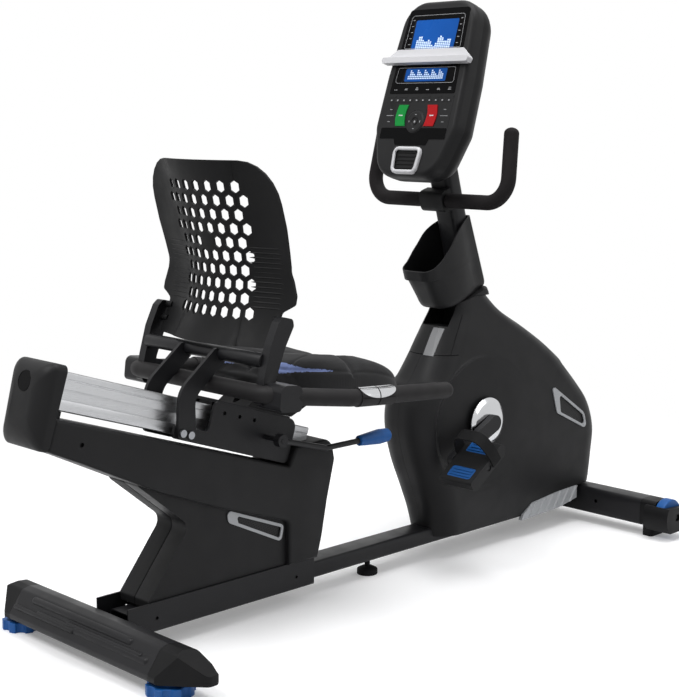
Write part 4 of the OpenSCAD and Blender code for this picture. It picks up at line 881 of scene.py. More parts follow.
@dataclass
class Tower(Assembly):
    """Covers under the seat rail, their vents, the rail and its cap.

    Attributes:
        half: Half width of the T-shaped cover.
        leg_half: Half width of the panel behind it.
        edge: Rounding of the cover's outer edge.
        seam: Half gap between the two covers.
        channel_top: Height at which the column stands on the floor channel.
        cap_depth: Depth of the rail's end cap.
        cap_place: Place of the cap's joint along the rail.
    """

    half: float = 60.0
    leg_half: float = 46.0
    edge: float = 6.5
    seam: float = 0.25
    channel_top: float = 94.3
    cap_depth: float = 43.0
    cap_place: float = -97.0

    def build(self) -> list[bpy.types.Object]:
        """Dress the tower."""
        for side, name in SIDES:
            self._cover(side, f"tower_cover_{name}")
        self.round_off(ALUMINIUM, 0.8, "rail")
        self.coat(PAINT, "tower_frame")
        self._vents()
        self._cap()
        return self.pieces

    def _cover_outline(self) -> list[Corner]:
        """Corners of the arm and column, seen from the side."""
        return [
            rail_point(-96.7, -110.0, 4.0), rail_point(-14.0, -120.0, 60.0), rail_point(170.0, -147.0, 80.0),
            (265.0, 249.0, 10.0), (444.0, 187.0, 12.0), (444.0, self.channel_top, 0.0),
            (524.0, self.channel_top, 0.0), (537.0, 140.0, 30.0), (552.0, 213.0, 60.0), (574.0, 298.0, 20.0),
            (564.0, 344.0, 26.0), rail_point(492.0, -8.0, 6.0), rail_point(485.0, -50.0, 6.0),
            rail_point(-96.7, -50.0, 4.0),
        ]

    def _cover(self, side: float, node: str) -> None:
        """One moulded cover: arm and column in front, leg panel set back."""
        arm = Mould(f"{node}_arm")
        corners = self._cover_outline()
        outline = rounded(corners)
        rim = self.half - self.edge
        rings = [side_ring(outline, side * self.seam), side_ring(outline, side * rim)]
        for step in range(1, 6):
            turn = math.radians(step * 18.0)
            inner = rounded(drawn_in(corners, self.edge * (1.0 - math.cos(turn))))
            rings.append(side_ring(inner, side * (rim + self.edge * math.sin(turn))))
        arm.loft(rings)
        piece = arm.bare()
        screw = RAIL.at(-30.0, side * (self.half - 6.0), -86.0)
        carve(piece, [post("screw_recess", screw, Vector((0.0, side, 0.0)), 4.5, 20.0)])
        self.keep(settle(piece, [SHELL], node, [node]))
        panel = Mould(f"{node}_leg")
        corners = [
            (96.0, 78.0, 4.0), (460.0, 78.0, 4.0), (470.0, 240.0, 8.0), (300.0, 280.0, 8.0),
            (50.0, 346.0, 8.0), (196.0, 226.0, 22.0), (94.0, 96.0, 8.0),
        ]
        across = Vector((0.0, side * (self.leg_half - self.seam) * MM, 0.0))
        panel.prism(side_ring(rounded(corners), side * self.seam), across)
        panel.bevel(3.0, 60.0, 3)
        piece = panel.bare()
        window = [(289.0, 237.0, 5.0), (294.0, 215.0, 9.0), (428.0, 150.0, 5.0), (434.0, 179.0, 7.0)]
        cutter = Mould("vent_window").prism(
            side_ring(rounded(window), side * (self.leg_half - 10.0)), Vector((0.0, side * 30.0 * MM, 0.0)))
        carve(piece, [cutter.bare()])
        self.keep(settle(piece, [SHELL], node))

    def _vents(self) -> None:
        """Silver frames with a wide rear lip and a dark mesh behind, its holes painted black as painted shade."""
        stands_for = ["vents"]
        for vent in VENTS:
            for side in (-1.0, 1.0):
                out = Vector((0.0, side * MM, 0.0))
                plate = side_ring(rounded(vent.outline), side * (vent.rim + 0.3))
                piece = Mould("vent_frame").prism(plate, out * 2.7).bevel(1.0, 60.0).bare()
                window = side_ring(rounded(vent.window), side * (vent.rim - 9.0))
                carve(piece, [Mould("window").prism(window, out * 30.0).bare()])
                self.keep(settle(piece, [SILVER], "vents", stands_for))
                stands_for = []
                back = side_ring(rounded(drawn_in(vent.outline, 3.6)), side * (vent.rim - 6.0))
                self.keep(Mould("vent_mesh_plate").prism(back, out * 5.0).cast([MESH], "vents"))

    def _cap(self) -> None:
        """Rounded cap on the rail's rear end, with a plain disc in its face."""
        wide, low, high = self.half + 2.0, -112.0, 46.0
        middle, tall = (low + high) / 2.0, high - low

        def ring(inset: float, depth: float) -> Ring:
            """Ring of the cap at a share of its depth."""
            made: Ring = []
            corners = oblong(2.0 * (wide - inset), tall - 2.0 * inset, 14.0 + 0.2 * inset, 0.0, middle)
            for y, up in rounded(corners, 8):
                tuck = 1.0 - 0.34 * (max(0.0, -up - 10.0) / 102.0) ** 2
                made.append(RAIL.at(self.cap_place - self.cap_depth * depth * tuck, y, up))
            return made

        turns = [math.radians(a) for a in range(0, 91, 9)]
        rings = [ring(0.0, 0.0)] + [ring(34.0 * (1.0 - math.cos(a)), 0.4 + 0.6 * math.sin(a)) for a in turns]
        piece = Mould("rail_cap_moulding").loft(rings).bare()
        face = RAIL.at(self.cap_place - self.cap_depth - 0.2, 0.0, 4.0)
        inward = RAIL.at(1.0, 0.0, 0.0) - RAIL.at(0.0, 0.0, 0.0)
        carve(piece, [post("disc_recess", face - inward * 4.0, inward, 19.5, 7.0)])
        self.keep(settle(piece, [SHELL], "rail_end_cap", ["rail_end_cap"]))
        disc = post("rail_cap_disc", face + inward * 0.8, inward, 19.0, 6.0)
        self.keep(soften(settle(disc, [GLOSS], "rail_end_cap"), 0.8))


@dataclass
class Shroud(Assembly):
    """Moulded halves around the drive, with their trims and the collar at the mast.

    Attributes:
        half: Greatest half width.
        dish: Radius of the recess around the crank at its floor.
        dish_deep: Depth of the recess at the crank.
        dish_slope: Degrees that the recess leans, deepest at the rear.
        dish_wall: Steepness of the recess's wall.
        dish_roll: Rounding where the recess meets the side.
        seam: Half gap between the two halves.
        strip_foot: Height over which a trim belongs to the neck.
        cup_seat: Height up the mast at which the cup holder sits.
        rows: Plan by height: z, rear end and front end from the crank, change of half width.
    """

    half: float = 78.0
    dish: float = 152.0
    dish_deep: float = 8.0
    dish_slope: float = 4.0
    dish_wall: float = 0.8
    dish_roll: float = 3.0
    seam: float = 0.25
    strip_foot: float = 400.0
    cup_seat: float = 29.4
    rows: tuple[tuple[float, float, float, float], ...] = (
        (54, -138, 442, -14), (110, -148, 449, -6), (170, -170, 453, -2), (235, -197, 455, 0),
        (300, -215, 430, 0), (352, -216, 384, 0), (404, -198, 330, -1), (426, -176, 308, -2),
        (470, -146, 247, -6), (514, -122, 174, -12), (558, -94, 96, -20), (600, -66, 46, -26),
    )

    def build(self) -> list[bpy.types.Object]:
        """Dress the shroud."""
        for side, name in SIDES:
            self._moulding(side, f"shroud_{name}")
        self._trims()
        self._collar()
        self.coat(PAINT, "drive_frame", "brake_arm")
        self.coat(STEEL, "flywheel", "flywheel_axle", "crank_bearings")
        self.coat(SHELL_DARK, "drive_pulley", "brake_servo")
        self.coat(RUBBER, "drive_belt")
        return self.pieces

    def _plan(self, row: Sequence[float], side: float) -> Ring:
        """Half plan at one height, from the rear middle round to the front middle."""
        z, rear, front, pinch = row
        a, b, w = CRANK_X + rear, CRANK_X + front, self.half + pinch
        tail = min(w - 4.0, (b - a) * 0.3, 62.0)
        nose = min(w - 2.0, (b - a) * 0.42, 72.0)
        behind = [math.radians(i * 3.0) for i in range(31)]
        ahead = [math.radians(i * 7.5) for i in range(13)]
        points = [(a, self.seam)]
        points += [(a + tail - tail * math.cos(t), w - tail + tail * math.sin(t)) for t in behind]
        points += [(a + tail + (b - nose - a - tail) * i / 90.0, w) for i in range(1, 90)]
        points += [(b - nose + nose * math.sin(t), w - nose + nose * math.cos(t)) for t in ahead]
        points.append((b, self.seam))
        return [at(x, side * self._pressed(x, y, z), z) for x, y in points]

    def _pressed(self, x: float, y: float, z: float) -> float:
        """Half width of the side at a place, with the crank's recess pressed in."""
        off = x - CRANK_X
        reach = math.hypot(off, z - CRANK.z / MM)
        floor = self.half - self.dish_deep + math.tan(math.radians(self.dish_slope)) * off
        wall = floor + max(0.0, reach - self.dish) * self.dish_wall
        near = max(0.0, self.dish_roll - abs(y - wall)) / self.dish_roll
        return min(y, wall) - near**2 * self.dish_roll / 4.0

    def _cutters(self, side: float) -> list[bpy.types.Object]:
        """Shapes that are cut out of a half: window, step, neck, seams and cup seat."""
        across = Vector((0.0, side * 200.0 * MM, 0.0))
        window = [(1283.5, 361.0, 4.0), (1305.5, 296.5, 9.0), (1421.0, 241.5, 6.0), (1409.5, 277.5, 27.0)]
        step = [(1180, 30), (1192, 58), (1226, 82), (1322, 92), (1404, 95), (1530, 97), (1530, 30)]
        neck = [(884, 542), (1018, 530), (1018, 640), (884, 640)]
        level_seam = [(840, 475), (950, 475), (950, 476.4), (840, 476.4)]
        neck_seam = [(931, 477), (952, 514), (981, 562), (982.4, 562), (953.4, 514), (932.4, 477)]
        cuts = (("vent_window", rounded(window), 66.0), ("step_cut", step, -4.0),
                ("level_seam", level_seam, -4.0), ("neck_seam", neck_seam, 24.0))
        shapes = [
            Mould(name).prism(side_ring(outline, side * inner), across).bare()
            for name, outline, inner in cuts
        ]
        hollow = Vector((0.0, side * 42.0 * MM, 0.0))
        shapes.append(Mould("neck_hollow").prism(side_ring(neck, side * -4.0), hollow).bare())
        low, high = self.cup_seat, 120.0
        seat = [MAST.at(x, side * -4.0, up) for x, up in ((-300, low), (30, low), (30, high), (-300, high))]
        shapes.append(Mould("cup_seat").prism(seat, across).bare())
        return shapes

    def _moulding(self, side: float, node: str) -> None:
        """One half of the shroud."""
        rings = [self._plan(row, side) for row in blend_rows(self.rows, 12)]
        piece = Mould(f"{node}_moulding").loft(rings).bare()
        carve(piece, self._cutters(side))
        self.keep(soften(settle(piece, [SHELL], node, [node], 28.0), 1.4, 50.0))

    def _trims(self) -> None:
        """Bright step trims and a darker, rougher copy of their silver on the neck strip."""
        mould = Mould.of_node("trims")
        for face in mould.bm.faces:
            # Faces above the strip's foot take the darker copy of the silver.
            face.material_index = int(face.calc_center_median().z > self.strip_foot * MM)
        self.keep(soften(mould.cast([SILVER, NECK_SILVER], "trims", ["trims"]), 0.8))

    def _collar(self) -> None:
        """Collar where the mast leaves the shroud."""
        corners = oblong(88.0, 98.0, 24.0)
        rings: list[Ring] = []
        for z, inset in ((600.2, 0.0), (606.0, 0.0), (614.0, 1.6), (619.0, 3.6), (622.0, 5.2), (624.0, 7.0)):
            lean = MAST.x - 8.0 - (z - 600.0) * 0.28
            rings.append([at(x + lean, y, z) for x, y in rounded(drawn_in(corners, inset), 8)])
        piece = Mould("collar_moulding").loft(rings).bare()
        low, high = self.cup_seat, 130.0
        seat = [MAST.at(x, -100.0, up) for x, up in ((-100, low), (100, low), (100, high), (-100, high))]
        carve(piece, [Mould("cup_seat").prism(seat, Vector((0.0, 0.2, 0.0))).bare()])
        self.keep(soften(settle(piece, [SHELL], "mast_collar", ["mast_collar"]), 1.0, 50.0))


@dataclass
class MastGroup(Assembly):
    """Mast, cup holder and handlebar.

    Attributes:
        cup_low: Height of the cup's floor up the mast.
        cup_lip: Height of the step under the cup's lip.
        wall: Thickness of the cup's wall.
        mast_half: Half width of the mast's sleeve on the cup.
        bar: Radius of the handlebar's tube.
        foam: Radius of its foam sleeves.
        bar_span: Width of the handlebar between its uprights.
        bar_rise: Height of the uprights.
        bar_lean: How far the uprights' ends lie forward.
        bend: Radius of the tube's bends.
    """

    cup_low: float = 30.0
    cup_lip: float = 108.0
    wall: float = 3.5
    mast_half: float = 31.0
    bar: float = 12.5
    foam: float = 16.5
    bar_span: float = 406.0
    bar_rise: float = 146.0
    bar_lean: float = 26.0
    bend: float = 52.0

    def build(self) -> list[bpy.types.Object]:
        """Dress the mast."""
        self.round_off(PAINT, 0.8, "mast")
        self._cup()
        self.round_off(SHELL_DARK, 2.0, "bar_clamp", segments=3)
        self._handlebar()
        return self.pieces

    def _cup_ring(self, up: float, inset: float) -> Ring:
        """Plan of the cup holder at a height up the mast."""
        rise = max(0.0, up - self.cup_low)
        lip = 8.0 * between((up - self.cup_lip + 1.0) / 2.0)
        a = -(122.0 + 24.0 * min(1.0, rise / 78.0)) - lip + inset
        b = 42.0 - 14.0 * up / 200.0 - inset
        w = 52.0 + 8.0 * min(1.0, rise / 90.0) - inset
        e = self.mast_half + 4.0 - inset
        corners = [(a, -w * 0.86, 30.0 - inset), (b, -e, 10.0), (b, e, 10.0), (a, w * 0.86, 30.0 - inset)]
        ring: Ring = []
        for x, y in self._dense(rounded(corners, 8)):
            swell = 9.0 * max(0.0, 1.0 - ((x + 60.0) / 62.0) ** 2)
            ring.append(MAST.at(x, y + math.copysign(swell, y), up))
        return ring

    @staticmethod
    def _dense(points: Sequence[Point2], most: float = 14.0) -> list[Point2]:
        """Outline with its long sides split, so that they can swell."""
        made: list[Point2] = []
        for index, here in enumerate(points):
            after = points[(index + 1) % len(points)]
            parts = 10 if math.dist(here, after) > most else 1
            made += [(here[0] + (after[0] - here[0]) * k / parts, here[1] + (after[1] - here[1]) * k / parts)
                     for k in range(parts)]
        return made

    def _cup(self) -> None:
        """Open bin with a slanted rim and a lip."""
        low = self.cup_low
        outer = [(low, 7.0), (low + 2.0, 4.0), (low + 6.0, 1.6), (low + 12.0, 0.3)]
        straight = (low + 18.0, 62.0, 78.0, 94.0, 107.0, 108.0, 109.0, 125.0, 150.0, 206.0)
        outer += [(up, 0.0) for up in straight]
        inner = [(low + 8.0, 9.0), (low + 12.0, 5.5)]
        inner += [(up, self.wall) for up in (low + 20.0, 78.0, 107.0, 109.0, 150.0, 212.0)]
        piece = Mould("cup_holder_moulding").loft([self._cup_ring(up, inset) for up, inset in outer]).bare()
        hollow = Mould("cup_hollow").loft([self._cup_ring(up, inset) for up, inset in inner]).bare()
        slope = blend_rows([(-300, 131), (-148, 132), (-82, 160), (-41, 187), (5, 201), (80, 212)], 6)
        rim = [MAST.at(x, -120.0, up) for x, up in slope + [[80.0, 300.0], [-300.0, 300.0]]]
        carve(piece, [hollow, Mould("cup_rim").prism(rim, Vector((0.0, 0.24, 0.0))).bare()])
        self.keep(soften(settle(piece, [SHELL], "cup_holder", ["cup_holder"], 30.0), 1.2, 40.0))

    def _handlebar(self) -> None:
        """Upright U of tube with foam sleeves."""
        middle = at(947.5, 0.0, 820.3)
        ends = [(self.bar_lean, -0.94, 1.0), (0.0, -1.0, 0.0), (0.0, 1.0, 0.0), (self.bar_lean, 0.94, 1.0)]
        path = tuple(
            middle + Vector((lean * MM, side * self.bar_span / 2.0 * MM, rise * self.bar_rise * MM))
            for lean, side, rise in ends
        )
        ahead = Vector((1.0, 0.0, 0.0))
        tube = Mould("handlebar_tube").loft(Run(path, self.bend, ahead, 10).rings(self.bar, 28, (2.0, 2.0)))
        self.keep(tube.cast([GRIP], "handlebar", ["handlebar"], 40.0))
        top = path[0] + (path[0] - path[1]).normalized() * 3.0 * MM
        inner = Vector((path[1].x, -37.0 * MM, path[1].z))
        sleeve = Run((top, path[1], inner), self.bend, ahead, 12)
        rings = sleeve.rings(self.foam, 32, (self.foam * 0.8, 0.0))
        place, along = sleeve.stations()[-1]
        rings.append(sleeve.ring(place + along * 1.2 * MM, along, self.foam - 1.2, 32))
        grips = Mould("foam_sleeves").loft(rings).mirrored()
        self.keep(grips.cast([FOAM], "foam_grips", ["foam_grips"], 40.0))


@dataclass
class Console(Assembly):
    """Console with its displays and keys.

    Attributes:
        width: Width of the shell.
        length: Length of the shell along its face.
        lip: Rounding of the face's edge.
    """

    width: float = 244.0
    length: float = 404.0
    lip: float = 13.0

    def build(self) -> list[bpy.types.Object]:
        """Dress the console."""
        self._shells()
        self.round_off(GLOSS, 0.4, "console_panel")
        self.round_off(SHELL, 0.6, "nav_key")
        self.coat(SCREEN, "displays")
        self.round_off(WHITE, 1.5, "media_shelf", segments=3)
        self.round_off(SHELL, 0.3, "keypad")
        self._keys()
        self._fan()
        self._prints()
        self.coat(BOARD, "console_board")
        return self.pieces

    def _corners(self) -> list[Corner]:
        """Corners of the shell's face."""
        w, top = self.width / 2.0, self.length - 80.0
        return [(-86, -80, 60), (86, -80, 60), (w, 30, 60), (w - 3, 150, 90), (w - 18, top, 62),
                (-w + 18, top, 62), (-w + 3, 150, 90), (-w, 30, 60)]

    def _shells(self) -> None:
        """Front and back mouldings that meet at a seam."""
        corners = self._corners()

        def ring(out: float, inset: float) -> Ring:
            """Ring of the shell at a depth."""
            return [on_face(u, v, out) for u, v in rounded(drawn_in(corners, inset), 9)]

        turns = [math.radians(a) for a in range(0, 91, 10)]
        front = [ring(-30.0, 0.0)]
        front += [ring(-16.0 + 16.0 * math.sin(a), self.lip * (1.0 - math.cos(a))) for a in turns]
        piece = Mould("console_front_moulding").loft(front).bare()
        out = off_face(1.0)
        wells = [post("nav_well", on_face(0.0, 44.0, -20.0), out, 26.35, 24.0)]
        for side in (-1.0, 1.0):
            base = [on_face(u, v, -20.0) for u, v in self._key_outline(side, 0.4)]
            wells.append(Mould("key_well").prism(base, out * 24.0).bare())
        carve(piece, wells)
        self.keep(settle(piece, [SHELL], "console_front", ["console_front"], 30.0))
        profile = blend_rows([(-30.6, 0.6), (-52.0, 2.0), (-73.4, 14.0), (-86.0, 25.0), (-92.0, 34.0)], 4)
        back = Mould("console_back_moulding").loft([ring(depth, inset) for depth, inset in profile])
        self.keep(back.cast([SHELL_DARK], "console_back", ["console_back"], 30.0))

    @staticmethod
    def _key_outline(side: float, room: float = 0.0) -> list[Point2]:
        """Outline of a start or stop key that curves round the middle key, grown by some room."""
        bow = [4.5 * math.sin(math.radians(i * 22.5)) for i in range(9)]
        curve = [(x, 34.0 - room + i * (6.0 + room / 4.0)) for i, x in enumerate(bow)]
        inner = [(side * (28.0 - room + x), v) for x, v in curve]
        return inner + [(side * (56.0 + room + x), v) for x, v in reversed(curve)]

    def _keys(self) -> None:
        """Start and stop keys."""
        lift = off_face(5.0)
        for side, node, finish in ((-1.0, "start_key", GREEN), (1.0, "stop_key", RED)):
            base = [on_face(u, v, -3.0) for u, v in self._key_outline(side)]
            mould = Mould(f"{node}_cap").prism(base, lift).bevel(1.4, 60.0, 3)
            self.keep(mould.cast([finish], node, [node]))

    def _fan(self) -> None:
        """Bright bezel round a dark window with five louvres."""
        corners = [(-37, -74, 15), (37, -74, 15), (43, -13, 15), (-43, -13, 15)]

        def ring(inset: float, out: float) -> Ring:
            """Ring of the bezel at a height over the face."""
            return [on_face(u, v, out) for u, v in rounded(drawn_in(corners, inset), 6)]

        section = [(0.0, -4.0), (0.0, 3.0), (1.0, 5.5), (3.0, 7.0), (6.0, 7.2), (8.0, 6.0), (9.0, 3.5),
                   (9.2, -8.0)]
        mould = Mould("fan_surround").loft([ring(inset, out) for inset, out in section])
        for index in range(5):
            slat = rounded(oblong(57.0, 2.2, 0.6, 0.0, -61.0 + index * 8.8), 2)
            mould.prism([on_face(u, v, -8.0) for u, v in slat], off_face(10.5))
        for face in mould.bm.faces:
            place = FACE.local(face.calc_center_median())
            inside = abs(place.y) < 33.5 and -64.9 < place.z < -22.0
            face.material_index = int(inside and -place.x < 3.0)
        self.keep(mould.cast([WHITE, SHELL_DARK], "fan_bezel", ["fan_bezel"]))

    def _trace(self, mould: Mould, corners: Sequence[Corner], width: float = 0.9) -> None:
        """Add a thin printed line along a closed outline on the panel.

        Args:
            mould: Mould that takes the line.
            corners: Corners of the outline on the face.
            width: Width of the line.
        """
        section = [(0.0, 0.55), (0.0, 0.7), (width, 0.7), (width, 0.55), (0.0, 0.55)]
        rings = [
            [on_face(u, v, out) for u, v in rounded(drawn_in(corners, inset), 5)] for inset, out in section
        ]
        mould.loft(rings, False)
        bmesh.ops.remove_doubles(mould.bm, verts=mould.bm.verts, dist=SAME_POINT)

    def _prints(self) -> None:
        """Marks on the panel, the keys and the displays."""
        gloss = Mould("keypad_gloss")
        lower = [(-97, 5, 3), (-52, 5, 2), (-46, -9, 5), (46, -9, 5), (52, 5, 2), (97, 5, 3), (97, 30, 3),
                 (-97, 30, 3)]
        gloss.prism([on_face(u, v, 0.4) for u, v in rounded(lower)], off_face(0.35))
        self.keep(gloss.cast([GLOSS], "keypad"))
        marks = Mould("panel_marks")
        self._trace(marks, [(-87, 132, 7), (87, 132, 7), (84, 168, 4), (-84, 168, 4)])
        self._trace(marks, [(-83, 212, 4), (83, 212, 4), (78, 289, 9), (-78, 289, 9)])
        on_panel, on_keypad, on_front, on_key, on_rim = 0.55, 0.85, 0.36, 1.95, 2.45
        bars = [
            (-80.0 + 32.0 * i, 117.0 + 2.4 * j, 9.0 - 2.0 * j, 1.3, on_panel)
            for i in range(6) for j in range(1 + i % 3)
        ]
        bars += [(-85.0 + 18.9 * index, 93.0, 4.0, 3.2, on_keypad) for index in range(10)]
        for side in (-1.0, 1.0):
            bars += [(side * 70.5, v, 6.0, 1.4, on_panel) for v in (222.0, 236.0, 250.0, 264.0, 278.0)]
            legends = ((44.0, 7.0), (58.0, 22.0), (72.0, 7.0))
            bars += [(side * 80.0, v, wide, 1.2, on_front) for v, wide in legends]
        for u, v, wide, high, out in bars:
            self._bar(marks, u, v, wide, high, out)
        self.keep(marks.cast([PRINT], "console_panel"))
        for side, node in ((-1.0, "start_key"), (1.0, "stop_key")):
            mark = Mould(f"{node}_mark")
            self._bar(mark, side * 45.5, 58.0, 12.0, 2.4, on_key)
            self.keep(mark.cast([WHITE], node))
        arrows = Mould("nav_key_marks")
        self._bar(arrows, 0.0, 44.0, 4.4, 4.4, on_key)
        for side in (-16.0, 16.0):
            self._bar(arrows, side, 44.0, 1.6, 4.4, on_rim)
            self._bar(arrows, 0.0, 44.0 + side, 4.4, 1.6, on_rim)
        self.keep(arrows.cast([PRINT], "nav_key"))
        self._graphs()

    @staticmethod
    def _bar(mould: Mould, u: float, v: float, wide: float, high: float, out: float) -> None:
        """Add a small printed bar, given its middle, size and height over the face."""
        bar = rounded(oblong(wide, high, min(wide, high) * 0.3, u, v), 2)
        mould.prism([on_face(p, q, out) for p, q in bar], off_face(0.14))

    def _graphs(self) -> None:
        """Plain bar graphs on the two displays."""
        graph = Mould("display_bars")
        thin = off_face(0.2)
        for column in range(18):
            high = 3 + round(3.5 + 3.5 * math.sin(column * 0.9) * math.cos(column * 0.31))
            for row in range(high):
                cell = oblong(4.6, 2.8, 0.3, -48.0 + column * 5.7, 206.0 + row * 4.0)
                graph.prism([on_face(u, v, 0.25) for u, v in rounded(cell, 1)], thin)
        for column in range(20):
            for row in range(2 + (column * 7) % 4):
                cell = oblong(4.0, 3.0, 0.3, -50.0 + column * 5.25, 143.0 + row * 4.4)
                graph.prism([on_face(u, v, 0.25) for u, v in rounded(cell, 1)], thin)
        self.keep(graph.cast([PIXEL], "displays"))


@dataclass
class Cranks(Assembly):
    """Crank arms, discs, pedals and straps."""

    def build(self) -> list[bpy.types.Object]:
        """Dress the cranks."""
        self.round_off(PAINT, 1.5, "crank_set")
        self.round_off(CHROME, 0.8, "crank_discs")
        self.round_off(SHELL, 1.5, "pedal_right", "pedal_left")
        self.round_off(RUBBER, 0.6, "pedal_strap_right", "pedal_strap_left")
        for side, name in SIDES:
            self._treads(side, f"pedal_{name}")
        return self.pieces

    def _treads(self, side: float, node: str) -> None:
        """Plain blue tread pads in a pedal's two pockets."""
        place = Vector(JOINTS[f"{node}_turn"]["pos_m"])
        pedal = Tilted(place.x / MM + ORIGIN_X, place.z / MM, -35.0)
        mould = Mould(f"{node}_treads")
        up = pedal.at(0.0, 0.0, 1.0) - pedal.at(0.0, 0.0, 0.0)
        for along in (-38.3, 38.3):
            pad = rounded(oblong(31.0, 65.4, 5.6, along, side * 154.0))
            mould.prism([pedal.at(x, y, -9.0) for x, y in pad], up * 22.0)
            for offset in (-8.0, 0.0, 8.0):
                rib = rounded(oblong(3.0, 54.0, 1.4, along + offset, side * 154.0), 3)
                mould.prism([pedal.at(x, y, 12.0) for x, y in rib], up * 2.4)
        self.keep(mould.bevel(0.6, 60.0).cast([BLUE], node))


@dataclass
class Seat(Assembly):
    """Sliding seat with its carriage, handles, cushion, backrest and lever.

    Attributes:
        pad_l: Length of the cushion.
        pad_w: Width of the cushion.
        pad_h: Height of the cushion at its middle.
        handle: Radius of the side handles.
        span: Spread of the side handles.
        cross_seam: Place of the cross seam as a share of the cushion's length.
        rim_seam: Height of the rim's seam as a share of the cushion's.
        lumbar_x: Place of the backrest's most forward line.
        lumbar_z: Height of that line.
        back_r: Radius of the backrest's middle in plan.
        wing_r: Radius of its wings in plan.
        wing_turn: Degrees at which the wings begin.
        wing_t: Half thickness of the wings.
        rib_low: Height of the wings' lowest rib.
        rib_pitch: Distance between the ribs.
        rib_rows: Number of ribs.
    """

    pad_l: float = 322.0
    pad_w: float = 390.0
    pad_h: float = 66.0
    handle: float = 17.0
    span: float = 500.0
    cross_seam: float = 0.36
    rim_seam: float = 0.62
    lumbar_x: float = 301.0
    lumbar_z: float = 705.0
    back_r: float = 214.0
    wing_r: float = 344.0
    wing_turn: float = 21.7
    wing_t: float = 2.5
    rib_low: float = 646.0
    rib_pitch: float = 9.5
    rib_rows: int = 13

    def build(self) -> list[bpy.types.Object]:
        """Dress the seat."""
        self.round_off(PAINT, 1.0, "carriage", "seat_frame")
        self.coat(SHELL_DARK, "seat_pan")
        self.coat(STEEL, "seat_bolts")
        self.coat(RUBBER, "seat_brake")
        self._handles()
        self.round_off(GRIP, 0.6, "pulse_contacts")
        self._contacts()
        self._cushion()
        self.round_off(BACK, 1.2, "seat_back")
        self._ribs()
        self._lever()
        return self.pieces

    def _lever(self) -> None:
        """Black rod with a blue grip."""
        mould = Mould.of_node("seat_lever")
        grip = at(605.9, 0.0, 0.0).x
        for face in mould.bm.faces:
            face.material_index = int(min(vert.co.x for vert in face.verts) >= grip)
        self.keep(soften(mould.cast([PAINT, BLUE], "seat_lever", ["seat_lever"]), 0.6))

    def _ribs(self) -> None:
        """Fine level ribs on the rear of the backrest's wings."""
        mould = Mould("backrest_ribs")
        for row in range(self.rib_rows):
            z = self.rib_low + row * self.rib_pitch
            below = z - self.lumbar_z
            sink = 0.27 * below**2 / (below + 25.0) if below > 0.0 else 0.0025 * below**2
            reach = self.back_r + self.wing_r
            radius = reach - (self.back_r + sink) - self.wing_t
            rings: list[Ring] = []
            for step in range(15):
                turn = math.radians(-19.5 + step * 0.95)
                lean = math.radians(self.wing_turn)
                x = self.lumbar_x + self.back_r - reach * math.cos(lean)
                y = reach * math.sin(lean)
                share = min(1.0, step / 2.0, (14 - step) / 2.0)
                thin = 0.15 + 0.85 * share
                spots = ((-1.2 * thin, 0.0), (0.0, -2.0 * thin), (0.8, 0.0), (0.0, 2.0 * thin))
                rings.append([
                    at(x + (radius + out) * math.cos(turn), y + (radius + out) * math.sin(turn), z + up)
                    for out, up in spots
                ])
            mould.loft(rings)
        self.keep(mould.mirrored().cast([BACK], "seat_back", (), 20.0))

    def _handles(self) -> None:
        """One bent bar round the back of the seat, gripped at both sides."""
        side = [(702.0, 1.0, 453.0), (430.0, 1.0, 474.0), (258.0, 0.86, 496.0)]
        path = [at(x, -share * self.span / 2.0, z) for x, share, z in side]
        path += [at(x, share * self.span / 2.0, z) for x, share, z in reversed(side)]
        run = Run(tuple(path), 46.0, Vector((0.0, 0.0, 1.0)), 12)
        rings = run.rings(self.handle, 32, (self.handle, self.handle))
        self.keep(Mould("side_handle_bar").loft(rings).cast([GRIP], "side_handles", ["side_handles"], 40.0))

    def _contacts(self) -> None:
        """Leaf-shaped polished plates on the upper outer side of the grips."""
        mould = Mould("contact_plates")
        start = at(430.0, -self.span / 2.0, 474.0)
        along = (at(702.0, 0.0, 453.0) - at(430.0, 0.0, 474.0)).normalized()
        out = Vector((0.0, -1.0, 0.0))
        up = out.cross(along).normalized()
        for first, last in ((16.0, 62.6), (65.4, 112.0)):
            rings: list[Ring] = []
            for step in range(17):
                s = first + (last - first) * step / 16.0
                half = 4.0 + 60.0 * math.sqrt(max(0.0, 1.0 - ((s - 64.0) / 48.5) ** 2))
                turns = [math.radians(28.0 + half * (i / 8.0 - 1.0)) for i in range(17)]
                arc = [(t, self.handle + 2.9) for t in turns]
                arc += [(t, self.handle + 1.6) for t in reversed(turns)]
                rings.append([
                    start + (along * s + (up * math.cos(t) + out * math.sin(t)) * r) * MM for t, r in arc
                ])
            mould.loft(rings)
        self.keep(mould.mirrored().cast([CHROME], "pulse_contacts", (), 50.0))

    def _pad_top(self, p: float, y: float) -> float:
        """Height of the cushion's top over its base."""
        wide = abs(y) / (self.pad_w / 2.0)
        nose = max(0.0, p - self.pad_l * 0.5) / (self.pad_l * 0.5)
        valley = 9.0 * hump(y, 15.0)
        channel = 4.0 * hump(p - self.pad_l * self.cross_seam, 10.0)
        return self.pad_h + 20.0 * wide**2 - 42.0 * nose**2 - valley - channel

    def _pad_ring(self, share: float, level: float, fixed: bool, count: int = 120) -> Ring:
        """Ring of the cushion at a share of its outline."""
        ring: Ring = []
        for index in range(count):
            turn = 2.0 * math.pi * index / count
            c, s = math.cos(turn), math.sin(turn)
            x = math.copysign(math.sqrt(abs(c)), c) * share
            y = math.copysign(math.sqrt(abs(s)), s) * share
            p, q = self.pad_l / 2.0 * (1.0 + x), self.pad_w / 2.0 * y * (1.0 - 0.1 * x)
            ring.append(SEAT.at(p, q, level if fixed else level * self._pad_top(p, q)))
        return ring

